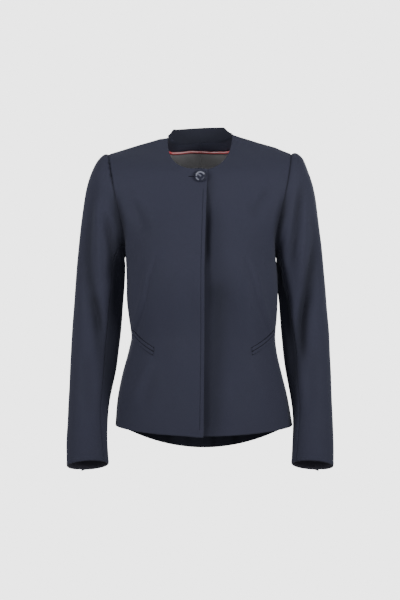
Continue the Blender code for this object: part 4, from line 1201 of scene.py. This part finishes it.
def addNeck():
    # the stand rises from the neckline and is tapered at both ends; the facing goes up inside it
    degrees = np.linspace(-neck["standTurn"], neck["standTurn"], 121)
    base = backNeckline(degrees)
    high, low = (np.where(base[:, 0] < 0, neck[k][-1], neck[k][1]) for k in ("cornerHigh", "cornerLow"))
    taper = softened(np.pad(np.clip((low - np.abs(base[:, 0])) / (low - high), 0, 1), 2, mode="edge"))
    top = neck["standTop"] + neck["standArch"] * (1 - (base[:, 0] / high) ** 2)
    rise = (np.maximum(top, 0.5 * neck["standTop"]) - base[:, 2]) * (
        neck["standEnd"] + (1 - neck["standEnd"]) * taper)
    lean = np.stack([0 * rise, -neck["standLean"] * rise / neck["standTop"], rise], axis=1)
    stand = tiltNeck(base[None] + lean[None] * spread(20, 0.5)[:, None, None])
    stand[0, :, 2] += 0.0008
    outward = facedOut(stand)
    roll = seamRoll(runLength(stand, 0)) + seamRoll(runBack(stand, 0), 0.0005)
    addCloth("neck_stand", stand + outward * roll[..., None], outward, "suiting")

    inset = body["cloth"] + layers["gap"]
    standInside = stand - outward * inset
    halves = []
    for side in (-1, 1):
        first, fan, reach = facingPlace(side, np.linspace(0.0, 0.97, 61))
        out = np.linspace(1.0, 0.06, 14)[:, None] * reach[None]
        place = first - out * np.cos(fan), out * np.sin(fan)
        halves.append(onBack(side, inset + layers["facingIn"], *place))
    facing = np.concatenate([joined(*halves), standInside[[3, 6, 9, 12, 15, 18, 20]]])
    weight = np.ones(facing.shape[:2])
    weight[0] = weight[-1] = 0
    facing = blurRows(facing, 1.2, weight)
    # painted shade on the facing, inside the stand and at its right end
    inStand = layers["standShade"] * smoothStep((np.arange(len(facing)) - 9) / 5)
    dark, start, over = layers["endShade"]
    atEnd = dark * smoothStep((start - facing[..., 0]) / over)
    addCloth("neck_facing", facing, facedOut(facing), "inside", paintedShade=np.maximum(inStand[:, None], atEnd))


def addLining():
    # from above the hem to the facing's edge, with its pleat at the centre and slow waves beside it
    inset = body["cloth"] + layers["gap"] + layers["liningIn"]
    low = hemRow - 0.2
    columns = (steps["across"] - layers["sideSlack"]) * np.linspace(0, 1, 90) ** 1.15
    climb = np.linspace(0, 1, 150)[:, None]
    halves, outHalves = [], []
    for side in (-1, 1):
        tries = np.linspace(steps["below"], steps["below"] + steps["above"] - 0.15, 200)
        grid = onBack(side, 0.0, *np.meshgrid(tries, columns, indexing="ij"))
        edgeX, edgeZ = facingEdge(np.linspace(0, 1, 100))
        limit = np.interp(np.abs(grid[..., 0]), edgeX, edgeZ) + facingWave(grid[..., 0])
        beyond = grid[..., 2] > limit - layers["liningLow"]
        top = np.where(beyond.any(axis=0), tries[beyond.argmax(axis=0)], tries[-1])
        top = np.convolve(np.pad(top, 3, mode="edge"), np.ones(7) / 7, mode="valid")
        rows = low + (top - low)[None] * climb
        across = np.repeat(columns[None], len(rows), axis=0)
        halves.append(onBack(side, inset, rows, across))
        outHalves.append(outOfPanel("back", side, rows, across))
    points, outward = joined(*halves), joined(*outHalves)
    x, z = points[..., 0], points[..., 2]
    edge = smoothStep(climb / 0.03) * smoothStep((1 - climb) / 0.03)
    pleat = sum(tall * bell(x - middle, half) for tall, middle, half in (layers["pleat"], layers["groove"]))
    waves = 0.0006 * (1 + np.sin(x * 130 + 9 * np.sin(z * 12))) * smoothStep((np.abs(x) - 0.01) / 0.02)
    # painted shade towards the lining's sides
    shaded = np.where(x < 0, layers["shade"][-1], layers["shade"][1])
    shaded = shaded * smoothStep((np.abs(x) - 0.008) / 0.055)
    points = points - outward * ((pleat + waves) * edge)[..., None]
    addCloth("back_lining", points, outward, "lining", paintedShade=shaded)


def addHemTurnUp():
    # the hem's cloth inside the backs, with four short folds, and painted shade that is lighter in the
    # middle and darker in the folds
    columns = (steps["across"] - layers["sideSlack"]) * np.linspace(0, 1, 90)
    place = np.meshgrid(np.linspace(0.06, hemRow, 14), columns, indexing="ij")
    deeper = body["cloth"] + layers["gap"]
    points = joined(*[onBack(side, deeper, *place) for side in (-1, 1)])
    outward = joined(*[outOfPanel("back", side, *place) for side in (-1, 1)])
    x = points[..., 0]
    fold = sum(bell(x - at, layers["hemFoldHalf"]) for at in layers["hemFolds"])
    dark, lighter, middle, half = layers["hemShade"]
    shaded = dark - lighter * bell(x - middle, half) + 0.5 * fold
    points = points + outward * 0.0003 * fold[..., None]
    addCloth("back_hem_turn_up", points, outward, "inside", paintedShade=shaded)


def addPiping():
    # a tube along the facing's edge; its crest, the part that looks forwards and up, gets a painted
    # highlight
    deeper = body["cloth"] + body["thin"] + 2 * layers["gap"] + layers["liningIn"] + layers["pipingIn"]
    halves = []
    for side in (-1, 1):
        first, fan, reach = facingPlace(side, np.linspace(0.0, 0.94, 90))
        halves.append(onBack(side, deeper, first - reach * np.cos(fan), reach * np.sin(fan)))
    path = np.concatenate([halves[0][::-1], halves[1][1:]])
    wave = 0.0003 * np.sin(path[:, 0] * 95 + 0.6) + 0.0002 * np.sin(path[:, 0] * 210)
    path[:, 2] += wave * smoothStep((0.070 - np.abs(path[:, 0])) / 0.02)
    mesh = tubeMesh("neck_piping", path, neck["pipingRadius"])
    spots = np.zeros(len(mesh.vertices) * 3)
    mesh.vertices.foreach_get("co", spots)
    around = spots.reshape(len(path), -1, 3) - path[:, None]
    # painted highlight on the crest of the tube
    crest = around @ np.array([0.0, -0.95, 0.30]) / neck["pipingRadius"]
    setAttribute(mesh, "crest", smoothStep((crest - 0.80) / 0.2))
    addPiece("neck_piping", mesh, "piping")


addNeck()
addLining()
addHemTurnUp()
addPiping()
print("jacket: neck, lining and hem made")


pocket = {
    "innerAngle": math.radians(50),
    "outerAngle": math.radians(15),
    "innerZ": -0.4375,
    "outerZ": -0.4010,
    "welt": 0.0066,
    "halfSlot": 0.0004,
    "lift": 0.0013,              # middle of a welt above the cloth, and half its thickness
    "thick": 0.0009,
    "seams": {"top": (0.0008, 0.0001), "mouth": (0.0012, 0.0009), "low": (0.0008, 0.0001)},   # dark tubes: the seams above and below the welts, darkened with painted shade, and the pocket's slot between them, a painted shadow: radius, lift
}


def onFront(side, row, column, lift=0.0):
    return onPanel("front", side, row, column, lift)


def roundedSquare(turn, flatX, flatY):
    # a circle's two coordinates, each squared up by its own power
    c, s = np.cos(turn), np.sin(turn)
    return np.sign(c) * np.abs(c) ** flatX, np.sign(s) * np.abs(s) ** flatY


def rowAtHeight(side, z, column):
    # the front's row at this height, found in a few steps
    rise = (body["underarmZ"] - body["hemSideZ"]) / steps["below"]
    row = (z - body["hemSideZ"]) / rise
    for _ in range(6):
        row = row + (z - onFront(side, row, column)[..., 2]) / rise
    return row


def addWelts():
    # two folded strips along a slanting line, and a dark tube above, between and below them: the seams,
    # darkened with painted shade, and between the welts a painted shadow in the pocket's slot
    share = np.linspace(0, 1, 60)
    angle = pocket["innerAngle"] + (pocket["outerAngle"] - pocket["innerAngle"]) * share
    lineZ = pocket["innerZ"] + (pocket["outerZ"] - pocket["innerZ"]) * share
    across, out = roundedSquare(np.linspace(0, 2 * np.pi, 25), 0.55, 0.75)
    slot, far = pocket["halfSlot"], pocket["halfSlot"] + pocket["welt"]
    for side, label in sides:
        centre = float(frontEdge(pocket["innerZ"], side) - level("sway", pocket["innerZ"]))
        first = math.acos(side * centre / float(level("half", pocket["innerZ"])))
        column = (first - angle) / first * steps["across"]
        for part, low, high in (("upper", slot, far), ("lower", -far, -slot)):
            z = lineZ[:, None] + (low + high) / 2 + (high - low) / 2 * across[None]
            columns = np.repeat(column[:, None], len(across), axis=1)
            row = rowAtHeight(side, z, columns)
            normal = outOfPanel("front", side, row, columns)
            lift = pocket["lift"] + pocket["thick"] * out[None]
            points = onFront(side, row, columns) + normal * lift[..., None]
            middle = points[:, :-1].mean(axis=1, keepdims=True)
            points = middle + (points - middle) * endsDrawnIn(len(share), 3.0)[:, None, None]
            name = "welt_" + part + "_" + label
            addPiece(name, gridMesh(name, points, True), "suiting")
        for line, higher in (("top", far), ("mouth", 0.0), ("low", -far)):
            radius, lift = pocket["seams"][line]
            path = onFront(side, rowAtHeight(side, lineZ + higher, column), column, lift)
            name = "pocket_" + line + "_" + label
            addPiece(name, tubeMesh(name, path, radius, 8), "thread", False)


button = {
    "radius": 0.0125,
    "thick": 0.0042,
    "tilt": math.radians(17),
    "out": (0.0, 0.30, 0.55, 0.66, 0.72, 0.78, 0.84, 0.90, 0.95, 0.985, 1.0, 0.99, 0.95, 0.80,
            0.55, 0.28, 0.28, 0.0),    # the turned profile, as shares of the radius and the thickness
    "up": (0.80, 0.80, 0.76, 0.74, 0.80, 0.92, 0.985, 1.0, 0.96, 0.86, 0.70, 0.55, 0.42, 0.34,
           0.28, 0.26, 0.0, 0.0),
    # strokes of the painted highlight, a C on the side towards the light: share of the radius and degrees
    # along it, half width, lightness
    "paintedHighlightStrokes": (
        (((0.66, 184), (0.66, 150), (0.67, 118), (0.66, 86), (0.65, 54), (0.66, 24)), 0.13, 1.0),
        (((0.70, 198), (0.72, 215), (0.72, 232), (0.70, 250)), 0.13, 1.0),
        (((0.58, 140), (0.34, 138), (0.10, 120), (0.12, -40)), 0.15, 0.70),
        (((0.64, -78), (0.62, -50), (0.64, -14)), 0.09, 0.30),
    ),
}


def addButton():
    # a turned profile: dished back, round rim, hollowed face with a low dome in it
    radius, thick, tilt = button["radius"], button["thick"], button["tilt"]
    count = np.arange(len(button["out"]))
    run = np.linspace(0, count[-1], 90)
    out = np.interp(run, count, np.array(button["out"]) * radius)
    up = np.interp(run, count, np.array(button["up"]) * thick)
    turn = np.linspace(0, 2 * np.pi, 97)
    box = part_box("button")
    axis = np.array([0.0, -math.cos(tilt), math.sin(tilt)])
    right = np.array([1.0, 0.0, 0.0])
    high = np.cross(axis, right)
    seat = (np.array(box[0]) + np.array(box[1])) / 2 - axis * thick / 2
    ring = right * np.cos(turn)[None, :, None] + high * np.sin(turn)[None, :, None]
    mesh = gridMesh("button", seat + ring * out[:, None, None] + axis * up[:, None, None], True)

    # painted highlight on the face: light strokes in a C, broken up by the horn's clouds
    face = smoothStep((0.97 - out / radius) / 0.06) * (up > thick * 0.5)
    flatX = out[:, None] / radius * np.cos(turn[:-1])[None]
    flatZ = out[:, None] / radius * np.sin(turn[:-1])[None]
    shade = np.full(flatX.shape, 0.05)
    for stroke, half, light in button["paintedHighlightStrokes"]:
        long, degrees = np.array(stroke).T
        line = np.stack([long * np.cos(np.radians(degrees)), long * np.sin(np.radians(degrees))], axis=1)
        away, share = lineDistance(flatX, flatZ, line)
        ends = smoothStep((share + 0.04) / 0.10) * smoothStep((1.04 - share) / 0.10)
        shade = np.maximum(shade, light * np.exp(-((away / half) ** 4)) * ends)
    setAttribute(mesh, "face", shade * face[:, None])
    addPiece("button", mesh, "horn")


def placeOnFront(side, x, z):
    # row and column where the front has this x and z, by Newton's steps
    row = (z - body["hemSideZ"]) / (body["underarmZ"] - body["hemSideZ"]) * steps["below"]
    row = np.where(z > body["underarmZ"], steps["below"] + (z - body["underarmZ"]) / 0.017, row)
    column = np.abs(x) / 0.15 * 6.0
    small = 0.06
    for _ in range(25):
        here = onFront(side, row, column)
        byRow = (onFront(side, row + small, column) - onFront(side, row - small, column)) / (2 * small)
        byColumn = (onFront(side, row, column + small) - onFront(side, row, column - small)) / (2 * small)
        missX, missZ = x - here[..., 0], z - here[..., 2]
        scale = byRow[..., 0] * byColumn[..., 2] - byRow[..., 2] * byColumn[..., 0]
        row = row + 0.7 * (missX * byColumn[..., 2] - missZ * byColumn[..., 0]) / scale
        column = column + 0.7 * (missZ * byRow[..., 0] - missX * byRow[..., 2]) / scale
        row = np.clip(row, 0.2, steps["below"] + steps["above"] - 0.2)
        column = np.clip(column, 0.07, steps["across"] - 0.2)
    return row, column


stitch = {
    "low": -0.594,
    "radius": 0.00024,
    "pitch": 0.0031,
    "lift": 0.00030,
}


def addStitches():
    # one thread that rises above the cloth and dips into it once in every stitch
    z = np.linspace(lap["stitchTop"], stitch["low"], 1700)
    row, column = placeOnFront(-1, frontEdge(z, -1) - lap["stitchIn"], z)
    surface = onFront(-1, row, column)
    run = np.concatenate([[0.0], np.cumsum(np.linalg.norm(np.diff(surface, axis=0), axis=1))])
    rise = stitch["lift"] * (np.cos(2 * np.pi * run / stitch["pitch"]) + 0.35)
    normal = (onFront(-1, row, column, 0.001) - surface) / 0.001
    mesh = tubeMesh("front_stitches", surface + normal * rise[:, None], stitch["radius"], 8)
    addPiece("front_stitches", mesh, "thread", False)


buttonhole = {
    "from": -0.0228,             # its outer end; its inner end is under the button
    "to": -0.0060,
    "z": -0.0868,
    "half": 0.00036,
    "thread": 0.00030,
}


def addButtonhole():
    # a stitched bar round a slit: the path runs out along one side of it and back along the other
    across, up = roundedSquare(np.linspace(0, 2 * np.pi, 241), 0.35, 0.35)
    reach = (buttonhole["to"] - buttonhole["from"]) / 2
    x = (buttonhole["from"] + buttonhole["to"]) / 2 + reach * across
    row, column = placeOnFront(-1, x, buttonhole["z"] + buttonhole["half"] * up)
    surface = onFront(-1, row, column, buttonhole["thread"] * 0.5)
    addPiece("buttonhole", tubeMesh("buttonhole", surface, buttonhole["thread"], 8), "thread", False)


addWelts()
addButton()
addStitches()
addButtonhole()
print("jacket: pockets, button and stitching made")


stage = {"radius": 6.0, "floor": -4.0, "top": 6.0, "grey": 0.85, "glow": 3.2}


def addStage():
    # a pale floor that turns up into a dome: a closed curve swept round the jacket
    turn = np.linspace(0, 2 * np.pi, 65)
    rise = np.linspace(0, 1, 48)
    across = stage["radius"] * np.sin(np.pi * rise) ** 0.6
    up = stage["floor"] + (stage["top"] - stage["floor"]) * (1 - np.cos(np.pi * rise)) / 2
    points = np.stack(np.broadcast_arrays(
        across[:, None] * np.cos(turn), across[:, None] * np.sin(turn), up[:, None]), axis=-1)
    points[0, :, :2] *= 0.0
    mesh = gridMesh("backdrop", points[:, ::-1], True)
    material = newMaterial("pale backdrop", {
        "Base Color": (stage["grey"], stage["grey"], stage["grey"], 1.0),
        "Roughness": 0.9,
        "Emission Color": (1.0, 1.0, 1.0, 1.0),
        "Emission Strength": stage["glow"],
    })[0]
    mesh.materials.append(material)
    dome = bpy.data.objects.new("backdrop", mesh)
    bpy.context.scene.collection.objects.link(dome)
    dome.visible_diffuse = False
    dome.visible_glossy = False
    dome.visible_shadow = False


lamps = {                        # place, aim, size, power, spread in degrees
    "key": ((1.60, -1.55, 0.05), (0.0, 0.0, 0.17), (0.8, 1.0), 9.8, 100),
    "fill": ((-1.65, -1.40, 0.05), (0.0, 0.0, 0.17), (0.8, 1.0), 7.8, 100),
    "front": ((0.2, -3.0, 0.35), (0.0, 0.0, -0.20), (0.8, 0.8), 10.5, 180),
    "back right": ((-1.0, 2.8, 0.4), (0.0, 0.0, -0.3), (1.0, 1.4), 28.0, 180),
    "back left": ((1.2, 2.7, 0.4), (0.0, 0.0, -0.3), (1.0, 1.4), 36.0, 180),
}


def addLight(name, place, aim, size, power, spread):
    light = bpy.data.lights.new(name, "AREA")
    light.shape = "RECTANGLE"
    light.size, light.size_y = size
    light.energy = power
    light.spread = math.radians(spread)
    lamp = bpy.data.objects.new(name, light)
    lamp.location = place
    direction = np.array(aim) - np.array(place)
    yaw = math.atan2(direction[0], -direction[1])
    pitch = math.atan2(direction[2], math.hypot(direction[0], direction[1]))
    lamp.rotation_euler = (math.pi / 2 + pitch, 0.0, yaw + math.pi)
    lamp.visible_camera = False
    bpy.context.scene.collection.objects.link(lamp)


view = {"away": 3.5, "height": -0.334, "shows": 1.23, "world": 0.24}   # shows: the picture's height


def addCamera():
    # the photo's view: level, straight at the front
    camera = bpy.data.cameras.new("camera")
    camera.sensor_fit = "VERTICAL"
    camera.sensor_height = 36.0
    camera.lens = camera.sensor_height * view["away"] / view["shows"]
    seat = bpy.data.objects.new("camera", camera)
    seat.location = (0.0, -view["away"], view["height"])
    seat.rotation_euler = (math.pi / 2, 0.0, 0.0)
    bpy.context.scene.collection.objects.link(seat)
    bpy.context.scene.camera = seat


addStage()
for lampName, values in lamps.items():
    addLight(lampName, *values)
world = bpy.data.worlds.new("studio")
world.use_nodes = True
world.node_tree.nodes["Background"].inputs["Color"].default_value = (1.0, 1.0, 1.0, 1.0)
world.node_tree.nodes["Background"].inputs["Strength"].default_value = view["world"]
bpy.context.scene.world = world
addCamera()

print("jacket: scene ready")
